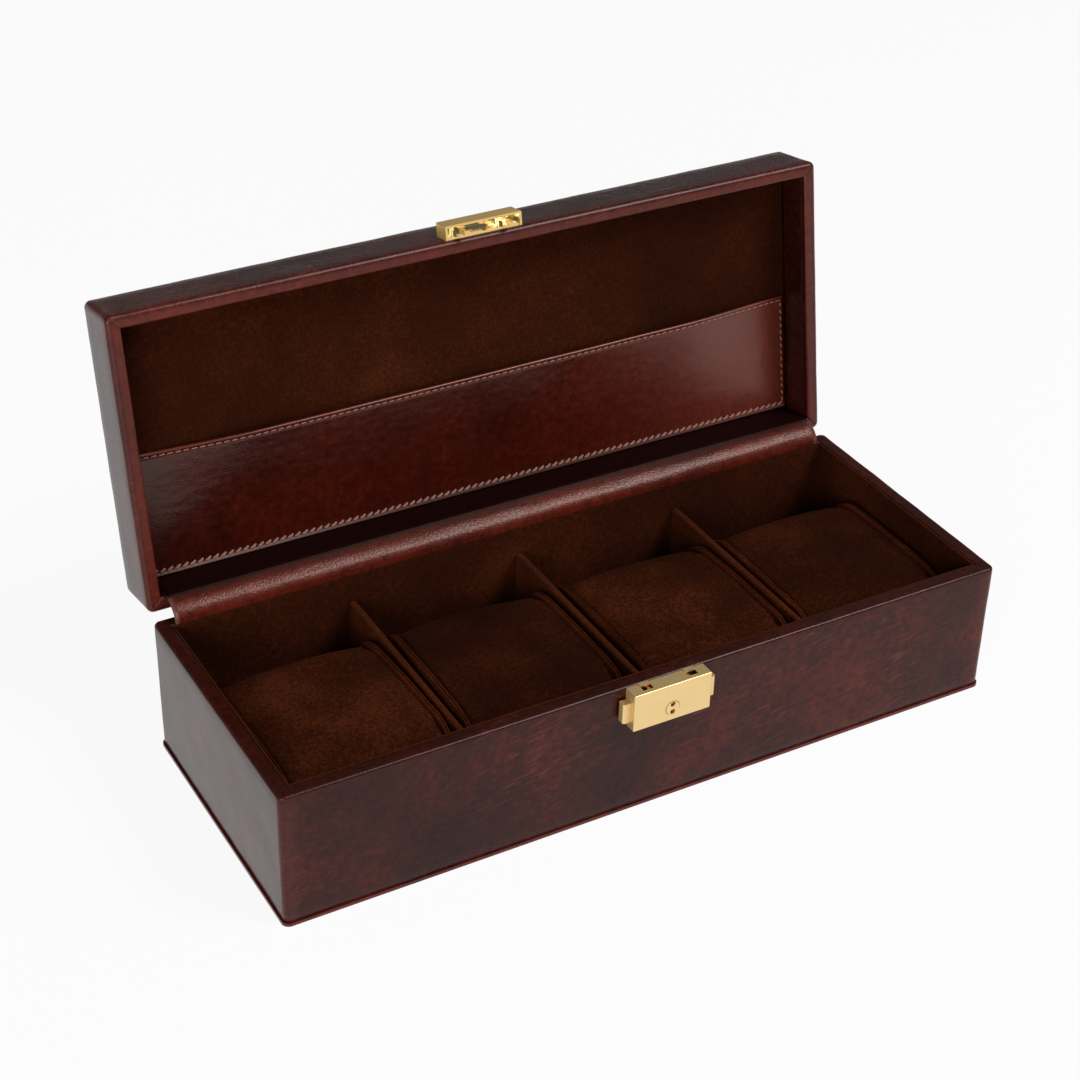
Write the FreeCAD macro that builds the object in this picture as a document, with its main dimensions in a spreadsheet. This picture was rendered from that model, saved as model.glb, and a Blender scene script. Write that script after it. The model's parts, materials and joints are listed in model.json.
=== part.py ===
"""A leather watch box with a hinged lid, four watch cushions and a brass case lock.

The frame is +X to the right, +Y to the back, +Z up, with the origin in the middle of the underside.
Sizes are in millimetres.  The lid stands open on its stay; its pieces are described as they lie when
the lid is shut and are then swung open about the hinge pins.
"""
import FreeCAD
import Part
import math
import os
import re

SIZES = {
    # outside of the shut box
    "box_width": 305,
    "box_depth": 117,
    "base_height": 57.3,
    "lid_height": 24.5,
    "open_angle": 100,
    "rim_gap": 0.3,
    "corner_round": 3,
    "edge_round": 1.6,
    # skins and boards of the walls
    "leather": 1.2,
    "lining": 0.8,
    "lining_drop": 0.2,
    "base_board": 4.5,
    "floor_board": 3,
    "bottom_cover": 1.3,
    "bottom_proud": 0.6,
    "lid_board": 3.5,
    "lid_skin": 0.8,
    "panel_card": 2,
    "panel_suede": 0.8,
    # dividers
    "divider_thick": 3,
    "divider_drop": 11.3,
    "divider_round": 1.4,
    # watch cushions
    "cushion_side_gap": 2.6,
    "cushion_front_gap": 5,
    "cushion_back_gap": 16.5,
    "cushion_drop": 10.6,
    "cushion_float": 0.3,
    "cushion_crown": 1.8,
    "cushion_swell": 1.2,
    "cushion_arch": 1.2,
    "cushion_top_round": 16,
    "cushion_foot_round": 11,
    "cushion_skin": 1,
    "cushion_panel": 1.8,
    "cushion_lip": 0.9,
    # pocket in the lid
    "pocket_depth": 50.5,
    "pocket_leather": 1.4,
    "pocket_side_gap": 0.8,
    # hinges and the leather strip that hides them
    "hinge_drop": 0.55,
    "hinge_inset": 67.5,
    "leaf_length": 34,
    "leaf_thick": 0.8,
    "leaf_fit": 0.1,
    "knuckle_radius": 1.75,
    "knuckle_gap": 0.15,
    "pin_radius": 0.8,
    "pin_fit": 0.05,
    "strip_thick": 1,
    "strip_side_gap": 0.8,
    "strip_tuck": 8,
    "strip_bend": 6,
    # countersunk screws
    "screw_head_radius": 1.5,
    "screw_radius": 0.8,
    "screw_pitch": 11,
    "screw_cover": 0.5,
    "hinge_screw_length": 5.5,
    # lock on the base front
    "lock_width": 33,
    "lock_height": 16,
    "lock_proud": 6.3,
    "lock_drop": 0.3,
    "lock_wall": 1,
    "lock_front": 1.2,
    "lock_round": 0.5,
    "lock_plate": 0.8,
    "slide_gap": 0.1,
    "slot_spread": 9.5,
    "slot_play": 1.1,
    "slot_lip": 0.5,
    "ear_proud": 0.45,
    "slider_thick": 1,
    "foot_width": 1.2,
    "foot_height": 2,
    "tab_thick": 1,
    "lock_play": 0.4,
    "button_reach": 3.2,
    "button_height": 8.5,
    "button_rise": 3.3,
    "button_thick": 3.1,
    "button_bevel": 0.6,
    "button_travel": 1.6,
    "spring_radius": 1,
    "spring_wire": 0.3,
    "post_rim": 0.3,
    "plug_radius": 2.85,
    "plug_rise": 5.6,
    "plug_fit": 0.2,
    "plug_proud": 0.15,
    "plug_shoulder": 0.55,
    "shoulder_thick": 1,
    "stem_radius": 1.2,
    "stem_length": 1.4,
    "cam_thick": 0.8,
    "cam_width": 2,
    "key_hole_radius": 1.05,
    "key_hole_spread": 1.65,
    "key_depth": 1.2,
    # strike on the lid front
    "strike_width": 32.8,
    "strike_height": 8.2,
    "strike_proud": 5.6,
    "strike_rise": 1.4,
    "strike_wall": 0.9,
    "strike_plate": 0.8,
    "strike_plate_gap": 0.2,
    "strike_screw_spread": 4.5,
    "hook_width": 2.2,
    "hook_thick": 1.8,
    "hook_reach": 3.4,
    "hook_arm": 1.4,
    "barb": 0.9,
    "barb_height": 0.8,
    "catch_gap": 0.2,
    # how far cutting shapes run past what they cut
    "overrun": 2,
}
KNUCKLES = 5
SCREWS_PER_LEAF = 3
DIVIDERS = 3
CUSHION_NAMES = ("left_cushion", "middle_left_cushion", "middle_right_cushion", "right_cushion")
SIDES = {"left": -1, "right": 1}

doc = FreeCAD.newDocument("leather_watch_box")
sheet = doc.addObject("Spreadsheet::Sheet", "Sizes")
for row, (alias, number) in enumerate(SIZES.items(), start=1):
    sheet.set(f"A{row}", alias)
    sheet.set(f"B{row}", str(number))
    sheet.setAlias(f"B{row}", alias)
doc.recompute()

# Places that several pieces share, written as formulas on the sheet's cells
X_OUT = "(box_width / 2)"
Y_OUT = "(box_depth / 2)"
X_WOOD = f"({X_OUT} - leather)"
Y_WOOD = f"({Y_OUT} - leather)"
X_BASE_WOOD_IN = f"({X_WOOD} - base_board)"
Y_BASE_WOOD_IN = f"({Y_WOOD} - base_board)"
X_BASE_IN = f"({X_BASE_WOOD_IN} - lining)"
Y_BASE_IN = f"({Y_BASE_WOOD_IN} - lining)"
Z_FLOOR_WOOD = "(bottom_cover + floor_board)"
Z_FLOOR = f"({Z_FLOOR_WOOD} + lining)"
Z_RIM = "base_height"
Z_LINING_TOP = f"({Z_RIM} - lining_drop)"

X_LID_WOOD_IN = f"({X_WOOD} - lid_board)"
Y_LID_WOOD_IN = f"({Y_WOOD} - lid_board)"
X_LID_IN = f"({X_LID_WOOD_IN} - lid_skin)"
Y_LID_IN = f"({Y_LID_WOOD_IN} - lid_skin)"
Z_LID_RIM = f"({Z_RIM} + rim_gap)"
Z_LID_TOP = f"({Z_LID_RIM} + lid_height)"
Z_LID_BOARD_TOP = f"({Z_LID_TOP} - leather)"
Z_LID_BOARD = f"({Z_LID_BOARD_TOP} - lid_board)"
Z_LID_CARD = f"({Z_LID_BOARD} - panel_card)"
Z_LID_PANEL = f"({Z_LID_CARD} - panel_suede)"

Y_PIVOT = f"({Y_OUT} + knuckle_radius + leaf_fit)"
Z_PIVOT = f"({Z_RIM} - hinge_drop)"
Y_BASE_LEAF = f"({Y_BASE_WOOD_IN} + strip_thick + leaf_fit)"
Y_LID_LEAF = f"({Y_LID_WOOD_IN} + leaf_fit)"
Y_LEAF_EDGE = f"({Y_PIVOT} - knuckle_radius - knuckle_gap)"

Z_LOCK_TOP = f"({Z_RIM} - lock_drop)"
Z_LOCK_FOOT = f"({Z_LOCK_TOP} - lock_height)"
Z_CAVITY_TOP = f"({Z_LOCK_TOP} - lock_wall)"
Z_CAVITY_FOOT = f"({Z_LOCK_FOOT} + lock_wall)"
X_CAVITY = "(lock_width / 2 - lock_wall)"
Z_PLUG = f"({Z_LOCK_FOOT} + plug_rise)"
SHOULDER_RADIUS = "(plug_radius + plug_shoulder)"
SLOT_HALF = "(hook_width / 2 + slot_play)"
POST_HALF = "(spring_radius + post_rim)"
Z_SPRING = f"({Z_PLUG} + {SHOULDER_RADIUS} + 2 * slide_gap + {POST_HALF})"
X_FOOT = f"({SHOULDER_RADIUS} + lock_play)"
X_BAR_IN = f"({X_FOOT} + foot_width)"
X_BAR_OUT = f"({X_CAVITY} - slide_gap)"
X_POST = f"({X_BAR_IN} - button_travel - 2 * slide_gap)"
X_TAB = f"({X_BAR_OUT} - tab_thick)"
Z_HOOK_TIP = f"({Z_LID_RIM} - hook_reach)"
Z_STRIKE_FOOT = f"({Z_LID_RIM} + strike_rise)"
Z_STRIKE_TOP = f"({Z_STRIKE_FOOT} + strike_height)"

# Distances forward of the front face, from the lock's back plate out to its front
P_BAR_BACK = "(lock_plate + slide_gap)"
P_BAR_FRONT = f"({P_BAR_BACK} + slider_thick)"
P_HOOK_BACK = f"({P_BAR_FRONT} + slide_gap)"
P_HOOK_FRONT = f"({P_HOOK_BACK} + hook_thick)"
P_CAM_FRONT = f"({P_HOOK_BACK} + cam_thick)"
P_PLUG_BACK = f"({P_HOOK_BACK} + stem_length)"
P_CAVITY_FRONT = "(lock_proud - lock_front)"
P_SPRING = f"({P_BAR_FRONT} + slide_gap + spring_radius)"
P_POST_FRONT = f"({P_SPRING} + spring_radius)"

DIVIDER_PITCH = f"((2 * {X_BASE_IN} + divider_thick) / {DIVIDERS + 1})"
CUSHION_WIDTH = f"({DIVIDER_PITCH} - divider_thick - 2 * cushion_side_gap)"
CUSHION_LENGTH = f"(2 * {Y_BASE_IN} - cushion_front_gap - cushion_back_gap)"
CUSHION_HEIGHT = f"({Z_RIM} - cushion_drop - {Z_FLOOR} - cushion_float)"
SWING_AXIS = FreeCAD.Vector(-1, 0, 0)
# Ways that a rod or screw can point, each a quarter turn about the swing axis on from the last
HEADINGS = ("up", "back", "down")


def sized(formula):
    """The formula with every size name pointing at its cell in the sheet."""
    return re.sub(
        r"[a-z_]+", lambda word: f"Sizes.{word[0]}" if word[0] in SIZES else word[0], formula
    )


def number(formula):
    """The value of a formula, for the shapes that are worked out point by point."""
    return float(sheet.evalExpression(sized(formula)))


def forward(near, far):
    """A pair of Y places at two distances forward of the front face."""
    return f"(-{Y_OUT} - {far})", f"(-{Y_OUT} - {near})"


def both(half):
    """A pair of places that lie equally far to either side of the middle."""
    return f"(-{half})", half


def on_side(side, near, far):
    """A pair of X places on the left or the right of the middle."""
    if SIDES[side] < 0:
        return f"(-{far})", f"(-{near})"
    return near, far


def place(piece, point, lid=False, heading="up"):
    """Put a piece's corner or centre at a point, headed up, back or down, and swung with the lid if asked."""
    x, y, z = point
    if lid:
        back = f"({y} - {Y_PIVOT})"
        rise = f"({z} - {Z_PIVOT})"
        y = f"{Y_PIVOT} + {back} * cos(open_angle) + {rise} * sin(open_angle)"
        z = f"{Z_PIVOT} - {back} * sin(open_angle) + {rise} * cos(open_angle)"
    quarter_turns = HEADINGS.index(heading)
    if lid or quarter_turns:
        turn = f"{quarter_turns} * 90"
        piece.Placement = FreeCAD.Placement(FreeCAD.Vector(), FreeCAD.Rotation(SWING_AXIS, 1))
        piece.setExpression("Placement.Rotation.Angle", sized(f"{turn} + open_angle" if lid else turn))
    for letter, formula in zip("xyz", (x, y, z)):
        piece.setExpression(f"Placement.Base.{letter}", sized(formula))


def block(name, x, y, z, lid=False):
    """A block between three pairs of places."""
    piece = doc.addObject("Part::Box", name)
    for size, (low, high) in zip(("Length", "Width", "Height"), (x, y, z)):
        piece.setExpression(size, sized(f"{high} - {low}"))
    place(piece, (x[0], y[0], z[0]), lid)
    return piece


def rod(name, radius, length, point, lid=False, heading="up"):
    """A round rod from a point, headed up, back or down."""
    piece = doc.addObject("Part::Cylinder", name)
    piece.setExpression("Radius", sized(radius))
    piece.setExpression("Height", sized(length))
    place(piece, point, lid, heading)
    return piece


def rod_along_x(name, radius, x, y, z):
    """A round rod that lies along X between two places."""
    piece = doc.addObject("Part::Cylinder", name)
    piece.setExpression("Radius", sized(radius))
    piece.setExpression("Height", sized(f"{x[1]} - {x[0]}"))
    piece.Placement = FreeCAD.Placement(
        FreeCAD.Vector(), FreeCAD.Rotation(FreeCAD.Vector(0, 1, 0), 90)
    )
    for letter, formula in zip("xyz", (x[0], y, z)):
        piece.setExpression(f"Placement.Base.{letter}", sized(formula))
    return piece


def joined(name, pieces):
    """Several overlapping shapes made into one."""
    whole = doc.addObject("Part::MultiFuse", name)
    whole.Shapes = pieces
    whole.Refine = True
    return whole


def group(name, pieces):
    """Several separate solids kept in one node."""
    whole = doc.addObject("Part::Compound", name)
    whole.Links = pieces
    return whole


def cut(name, blank, tools):
    """A blank with the tools' shapes taken out of it."""
    piece = doc.addObject("Part::Cut", name)
    piece.Base = blank
    piece.Tool = tools[0] if len(tools) == 1 else joined(f"{name}_tools", tools)
    piece.Refine = True
    return piece


def edge_shares(blank):
    """Each edge of a block with its middle, as shares of the block's length, width and height."""
    doc.recompute()
    sides = [float(blank.Length), float(blank.Width), float(blank.Height)]
    to_block = blank.Placement.inverse()
    for index, edge in enumerate(blank.Shape.Edges, start=1):
        middle = to_block.multVec(edge.CenterOfMass)
        yield index, [round(at / side, 2) for at, side in zip(middle, sides)]


def rounded(name, blank, picks):
    """A block with edges rounded: picks are pairs of a test on an edge's shares and a radius."""
    piece = doc.addObject("Part::Fillet", name)
    piece.Base = blank
    edges = []
    for index, shares in edge_shares(blank):
        for test, radius in picks:
            if test(shares):
                edges.append((index, number(radius), number(radius)))
                break
    piece.Edges = edges
    return piece


def upright(shares):
    return shares[2] == 0.5


def on_top(shares):
    return shares[2] == 1


def around_foot(shares):
    return shares[2] == 0


def off_the_back(shares):
    return shares[1] != 1


def screws(name, points, heading, head_depth, length, lid=False):
    """Countersunk screws with their heads at the points, in one node."""
    made = []
    for count, point in enumerate(points):
        head = doc.addObject("Part::Cone", f"{name}_head_{count}")
        head.setExpression("Radius1", sized("screw_head_radius"))
        head.setExpression("Radius2", sized("screw_radius"))
        head.setExpression("Height", sized(head_depth))
        place(head, point, lid, heading)
        shank = rod(f"{name}_shank_{count}", "screw_radius", length, point, lid, heading)
        made.append(joined(f"{name}_{count}", [head, shank]))
    return group(name, made)


def hinge_places():
    """The X place of the middle of each hinge."""
    return {side: f"({sign} * ({X_OUT} - hinge_inset))" for side, sign in SIDES.items()}


def leaf_screw_points(y, z):
    shares = [(count - (SCREWS_PER_LEAF - 1) / 2) for count in range(SCREWS_PER_LEAF)]
    return [(f"{x} + {share} * screw_pitch", y, z) for x in hinge_places().values() for share in shares]


def leaf_span(x):
    return f"({x} - leaf_length / 2)", f"({x} + leaf_length / 2)"


def leaf_windows(name, y, z, lid=False):
    """The places let into a rim for the two hinge leaves."""
    return [
        block(f"{name}_{side}", leaf_span(x), (y, f"({Y_OUT} + overrun)"), z, lid)
        for side, x in hinge_places().items()
    ]


def hinge_leaf(name, x, first_knuckle, y, z, screw_group, lid=False):
    """One leaf of a hinge: its plate, its own knuckles on the pin and its screw holes."""
    pieces = [block(f"{name}_plate", leaf_span(x), (y, Y_LEAF_EDGE), z, lid)]
    pitch = f"leaf_length / {KNUCKLES}"
    for count in range(first_knuckle, KNUCKLES, 2):
        span = (
            f"({x} - leaf_length / 2 + {count} * {pitch} + knuckle_gap / 2)",
            f"({x} - leaf_length / 2 + {count + 1} * {pitch} - knuckle_gap / 2)",
        )
        pieces.append(block(f"{name}_tab_{count}", span, (Y_LEAF_EDGE, Y_PIVOT), z, lid))
        pieces.append(rod_along_x(f"{name}_knuckle_{count}", "knuckle_radius", span, Y_PIVOT, Z_PIVOT))
    span = leaf_span(x)
    hole = rod_along_x(
        f"{name}_hole",
        "pin_radius + pin_fit",
        (f"({span[0]} - overrun)", f"({span[1]} + overrun)"),
        Y_PIVOT,
        Z_PIVOT,
    )
    return cut(name, joined(f"{name}_blank", pieces), [hole, screw_group])


def make_screws():
    """The four sets of screws, made first because they also drill what they go into."""
    base_y = f"(({Y_BASE_LEAF} + {Y_OUT}) / 2)"
    lid_y = f"(({Y_LID_LEAF} + {Y_OUT}) / 2)"
    lock_y = f"(-{Y_OUT} - lock_plate)"
    strike_y = f"(-{Y_OUT} - strike_plate)"
    strike_z = f"(({Z_STRIKE_FOOT} + {Z_STRIKE_TOP}) / 2)"
    base_points = leaf_screw_points(base_y, Z_RIM)
    lid_points = leaf_screw_points(lid_y, Z_LID_RIM)
    lock_points = [(f"{sign} * slot_spread", lock_y, Z_PLUG) for sign in SIDES.values()]
    strike_points = [(f"{sign} * strike_screw_spread", strike_y, strike_z) for sign in SIDES.values()]
    lock_length = "(lock_plate + leather + base_board - screw_cover)"
    strike_length = "(strike_plate + leather + lid_board - screw_cover)"
    made = [
        screws("base_hinge_screws", base_points, "down", "leaf_thick", "hinge_screw_length"),
        screws("lid_hinge_screws", lid_points, "up", "leaf_thick", "hinge_screw_length", lid=True),
        screws("lock_screws", lock_points, "back", "lock_plate", lock_length),
        screws("strike_screws", strike_points, "back", "strike_plate", strike_length, lid=True),
    ]
    return {each.Label: each for each in made}


def strip_rebate():
    """The step in the back wall of the base that takes the tail of the hinge strip."""
    return block(
        "strip_rebate",
        both(f"({X_BASE_IN} - strip_side_gap + leaf_fit)"),
        (f"({Y_BASE_WOOD_IN} - overrun)", f"({Y_BASE_WOOD_IN} + strip_thick)"),
        (f"({Z_RIM} - strip_tuck)", f"({Z_RIM} + overrun)"),
    )


def base_walls(drilled):
    """Boards of the base, their leather, the bottom cover and the suede lining."""
    board_z = ("bottom_cover", f"({Z_RIM} - leather)")
    windows = leaf_windows("base_window", Y_BASE_LEAF, (f"({Z_RIM} - leaf_thick)", f"({Z_RIM} + overrun)"))
    rebate = strip_rebate()
    front = block("base_front_blank", both(X_WOOD), (f"(-{Y_WOOD})", f"(-{Y_BASE_WOOD_IN})"), board_z)
    back = block("base_back_blank", both(X_WOOD), (Y_BASE_WOOD_IN, Y_WOOD), board_z)
    skin = rounded(
        "base_leather_blank",
        block("base_leather_block", both(X_OUT), both(Y_OUT), ("bottom_cover", Z_RIM)),
        [(upright, "corner_round"), (on_top, "edge_round")],
    )
    core = block("base_core", both(X_WOOD), both(Y_WOOD), ("(bottom_cover - overrun)", board_z[1]))
    mouth_z = ("bottom_cover", f"({Z_RIM} + overrun)")
    mouth = block("base_mouth", both(X_BASE_WOOD_IN), both(Y_BASE_WOOD_IN), mouth_z)
    cover_x = both(f"({X_OUT} + bottom_proud)")
    cover_y = both(f"({Y_OUT} + bottom_proud)")
    lining_z = (Z_FLOOR, Z_LINING_TOP)
    pieces = [
        cut("base_front_board", front, [drilled["lock_screws"]]),
        cut("base_back_board", back, windows + [rebate, drilled["base_hinge_screws"]]),
        block("base_floor_board", both(X_BASE_WOOD_IN), both(Y_BASE_WOOD_IN), ("bottom_cover", Z_FLOOR_WOOD)),
        cut(
            "base_leather",
            skin,
            [core, mouth, rebate, drilled["lock_screws"], drilled["base_hinge_screws"]] + windows,
        ),
        rounded(
            "bottom_cover",
            block("bottom_cover_block", cover_x, cover_y, ("0", "bottom_cover")),
            [(upright, "corner_round")],
        ),
        block("floor_lining", both(X_BASE_WOOD_IN), both(Y_BASE_WOOD_IN), (Z_FLOOR_WOOD, Z_FLOOR)),
        block("front_lining", both(X_BASE_WOOD_IN), (f"(-{Y_BASE_WOOD_IN})", f"(-{Y_BASE_IN})"), lining_z),
        block("back_lining", both(X_BASE_WOOD_IN), (Y_BASE_IN, Y_BASE_WOOD_IN), lining_z),
    ]
    for side in SIDES:
        pieces.append(
            block(f"base_{side}_board", on_side(side, X_BASE_WOOD_IN, X_WOOD), both(Y_BASE_WOOD_IN), board_z)
        )
        pieces.append(
            block(f"{side}_lining", on_side(side, X_BASE_IN, X_BASE_WOOD_IN), both(Y_BASE_IN), lining_z)
        )
    return pieces


def dividers():
    """Upright suede boards with rounded tops that part the base into compartments."""
    made = []
    for name, share in zip(("left_divider", "middle_divider", "right_divider"), (-1, 0, 1)):
        x = (
            f"({share} * {DIVIDER_PITCH} - divider_thick / 2)",
            f"({share} * {DIVIDER_PITCH} + divider_thick / 2)",
        )
        blank = block(f"{name}_block", x, both(Y_BASE_IN), (Z_FLOOR, f"({Z_RIM} - divider_drop)"))
        made.append(
            rounded(name, blank, [(lambda shares: on_top(shares) and shares[1] == 0.5, "divider_round")])
        )
    return made


def cushion_outline(x, inset, drop, draw_in):
    """The outline of a cushion across its band: flat foot, round corners, arched top."""
    half = number(f"{CUSHION_LENGTH} / 2") - draw_in - inset
    foot = number("cushion_lip") + inset
    top = number(f"{CUSHION_HEIGHT} - cushion_arch") - drop - inset
    top_round = number("cushion_top_round") - inset
    foot_round = number("cushion_foot_round") - inset
    arch = number("cushion_arch")
    lean = math.sqrt(0.5)

    def at(y, z):
        return FreeCAD.Vector(x, y, z)

    def corner(y, z, radius, up, out):
        """A quarter round whose centre is at y, z."""
        start = at(y, z + up * radius)
        middle = at(y + out * radius * lean, z + up * radius * lean)
        end = at(y + out * radius, z)
        return start, middle, end

    right_foot = corner(half - foot_round, foot + foot_round, foot_round, -1, 1)
    right_top = corner(half - top_round, top - top_round, top_round, 1, 1)
    left_top = corner(-half + top_round, top - top_round, top_round, 1, -1)
    left_foot = corner(-half + foot_round, foot + foot_round, foot_round, -1, -1)
    edges = [
        Part.LineSegment(left_foot[0], right_foot[0]),
        Part.Arc(*right_foot),
        Part.LineSegment(right_foot[2], right_top[2]),
        Part.Arc(*right_top[::-1]),
        Part.Arc(right_top[0], at(0, top + arch), left_top[0]),
        Part.Arc(*left_top),
        Part.LineSegment(left_top[2], left_foot[2]),
        Part.Arc(*left_foot[::-1]),
    ]
    return Part.Wire([edge.toShape() for edge in edges])


def cushion_body(inset):
    """The swelling body of a cushion between its end panels, as a loft through three outlines."""
    half = number(f"{CUSHION_WIDTH} / 2 - cushion_panel")
    drop = number("cushion_crown")
    draw_in = number("cushion_swell")
    outlines = [
        cushion_outline(-half, inset, drop, draw_in),
        cushion_outline(0, inset, 0, 0),
        cushion_outline(half, inset, drop, draw_in),
    ]
    return Part.makeLoft(outlines, True)


def cushion_end(sign):
    """An end panel, whose edge stands proud of the band as a sewn lip."""
    near = sign * number(f"{CUSHION_WIDTH} / 2 - cushion_panel")
    drop = number("cushion_crown")
    draw_in = number("cushion_swell")
    outline = cushion_outline(near, -number("cushion_lip"), drop, draw_in)
    depth = FreeCAD.Vector(sign * number("cushion_panel"), 0, 0)
    return Part.Face(outline).extrude(depth)


def feature(name, shape, point):
    """A piece whose shape is worked out point by point, set at a place from the sheet."""
    piece = doc.addObject("Part::Feature", name)
    piece.Shape = shape
    piece.Placement = FreeCAD.Placement(FreeCAD.Vector(*point), FreeCAD.Rotation())
    return piece


def cushions():
    """Four watch cushions: foam, a suede band round it and two suede end panels each."""
    foam = cushion_body(number("cushion_skin"))
    band = cushion_body(0).cut(foam)
    ends = Part.makeCompound([cushion_end(sign) for sign in SIDES.values()])
    pitch = number(DIVIDER_PITCH)
    y = number(f"cushion_front_gap + {CUSHION_LENGTH} / 2 - {Y_BASE_IN}")
    z = number(f"{Z_FLOOR} + cushion_float")
    made = []
    for count, name in enumerate(CUSHION_NAMES):
        x = (count - (len(CUSHION_NAMES) - 1) / 2) * pitch
        made.append(feature(f"{name}_foam", foam, (x, y, z)))
        made.append(feature(f"{name}_band", band, (x, y, z)))
        made.append(feature(f"{name}_end_panels", ends, (x, y, z)))
    return made


def lid_walls(drilled):
    """Boards of the lid, their leather outside and inside, the suede panel and the pocket."""
    board_z = (f"({Z_LID_RIM} + leather)", Z_LID_BOARD)
    windows = leaf_windows(
        "lid_window", Y_LID_LEAF, (f"({Z_LID_RIM} - overrun)", f"({Z_LID_RIM} + leaf_thick)"), lid=True
    )
    front = block("lid_front_blank", both(X_WOOD), (f"(-{Y_WOOD})", f"(-{Y_LID_WOOD_IN})"), board_z, lid=True)
    back = block("lid_back_blank", both(X_WOOD), (Y_LID_WOOD_IN, Y_WOOD), board_z, lid=True)
    skin = rounded(
        "lid_leather_blank",
        block("lid_leather_block", both(X_OUT), both(Y_OUT), (Z_LID_RIM, Z_LID_TOP), lid=True),
        [(upright, "corner_round"), (on_top, "edge_round"), (around_foot, "edge_round")],
    )
    core = block("lid_core", both(X_WOOD), both(Y_WOOD), (board_z[0], Z_LID_BOARD_TOP), lid=True)
    mouth_x, mouth_y = both(X_LID_WOOD_IN), both(Y_LID_WOOD_IN)
    mouth = block("lid_mouth", mouth_x, mouth_y, (f"({Z_LID_RIM} - overrun)", Z_LID_BOARD), lid=True)
    inside = block(
        "lid_inside", both(X_LID_IN), both(Y_LID_IN), (f"({Z_LID_RIM} - overrun)", Z_LID_BOARD), lid=True
    )
    band = block("lid_band", both(X_LID_WOOD_IN), both(Y_LID_WOOD_IN), (Z_LID_RIM, Z_LID_PANEL), lid=True)
    pocket_back = f"({Y_LID_IN} - strip_thick)"
    pieces = [
        cut("lid_front_board", front, [drilled["strike_screws"]]),
        cut("lid_back_board", back, windows + [drilled["lid_hinge_screws"]]),
        block("lid_top_board", both(X_WOOD), both(Y_WOOD), (Z_LID_BOARD, Z_LID_BOARD_TOP), lid=True),
        cut(
            "lid_leather",
            skin,
            [core, mouth, drilled["strike_screws"], drilled["lid_hinge_screws"]] + windows,
        ),
        cut("lid_inner_leather", band, [inside]),
        block("lid_panel_card", mouth_x, mouth_y, (Z_LID_CARD, Z_LID_BOARD), lid=True),
        block("lid_suede_panel", mouth_x, mouth_y, (Z_LID_PANEL, Z_LID_CARD), lid=True),
        block(
            "lid_pocket",
            both(f"({X_LID_IN} - pocket_side_gap)"),
            (f"({pocket_back} - pocket_depth)", pocket_back),
            (f"({Z_LID_PANEL} - pocket_leather)", Z_LID_PANEL),
            lid=True,
        ),
    ]
    for side in SIDES:
        pieces.append(
            block(
                f"lid_{side}_board",
                on_side(side, X_LID_WOOD_IN, X_WOOD),
                both(Y_LID_WOOD_IN),
                board_z,
                lid=True,
            )
        )
    return pieces


def hinges(drilled):
    """Two butt hinges: a leaf on each rim and a pin through their knuckles."""
    made = []
    for side, x in hinge_places().items():
        base_z = (f"({Z_RIM} - leaf_thick)", Z_RIM)
        lid_z = (Z_LID_RIM, f"({Z_LID_RIM} + leaf_thick)")
        made.append(
            hinge_leaf(f"{side}_hinge_base_leaf", x, 0, Y_BASE_LEAF, base_z, drilled["base_hinge_screws"])
        )
        lid_screws = drilled["lid_hinge_screws"]
        made.append(hinge_leaf(f"{side}_hinge_lid_leaf", x, 1, Y_LID_LEAF, lid_z, lid_screws, lid=True))
        made.append(rod_along_x(f"{side}_hinge_pin", "pin_radius", leaf_span(x), Y_PIVOT, Z_PIVOT))
    return made


def hinge_strip():
    """The strip from behind the back lining, over the hinges and into the lid: also the lid's stay."""
    half_thick = number("strip_thick / 2")
    bend = number("strip_bend")
    swing = math.radians(number("open_angle"))
    base_y = number(f"{Y_BASE_WOOD_IN} + strip_thick / 2")
    tail_z = number(f"{Z_RIM} - strip_tuck")
    back = number(f"{Y_LID_IN} - strip_thick / 2 - {Y_PIVOT}")
    rise = number(f"{Z_LID_RIM} - {Z_PIVOT}")
    lid_y = number(Y_PIVOT) + back * math.cos(swing) + rise * math.sin(swing)
    lid_z = number(Z_PIVOT) - back * math.sin(swing) + rise * math.cos(swing)
    along_y = math.sin(swing)
    along_z = math.cos(swing)
    run = (lid_y - base_y) / along_y
    corner_z = lid_z - run * along_z
    tangent = bend * math.tan(swing / 2)
    bend_z = corner_z - tangent
    centre_y = base_y + bend
    lid_run = number(f"{Z_LID_PANEL} - {Z_LID_RIM} - pocket_leather")

    def at(y, z):
        return FreeCAD.Vector(-number(f"{X_BASE_IN} - strip_side_gap"), y, z)

    def face_points(side):
        """The line of one face of the strip: 1 for the face seen from inside, -1 for the hidden one."""
        radius = bend + side * half_thick
        middle = swing / 2
        return [
            at(base_y - side * half_thick, tail_z),
            at(base_y - side * half_thick, bend_z),
            at(centre_y - radius * math.cos(middle), bend_z + radius * math.sin(middle)),
            at(centre_y - radius * math.cos(swing), bend_z + radius * math.sin(swing)),
            at(
                lid_y + along_y * lid_run - side * half_thick * along_z,
                lid_z + along_z * lid_run + side * half_thick * along_y,
            ),
        ]

    seen = face_points(1)
    hidden = face_points(-1)
    edges = [
        Part.LineSegment(seen[0], seen[1]),
        Part.Arc(seen[1], seen[2], seen[3]),
        Part.LineSegment(seen[3], seen[4]),
        Part.LineSegment(seen[4], hidden[4]),
        Part.LineSegment(hidden[4], hidden[3]),
        Part.Arc(hidden[3], hidden[2], hidden[1]),
        Part.LineSegment(hidden[1], hidden[0]),
        Part.LineSegment(hidden[0], seen[0]),
    ]
    outline = Part.Face(Part.Wire([edge.toShape() for edge in edges]))
    width = number(f"2 * ({X_BASE_IN} - strip_side_gap)")
    return feature("hinge_strip", outline.extrude(FreeCAD.Vector(width, 0, 0)), (0, 0, 0))


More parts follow.
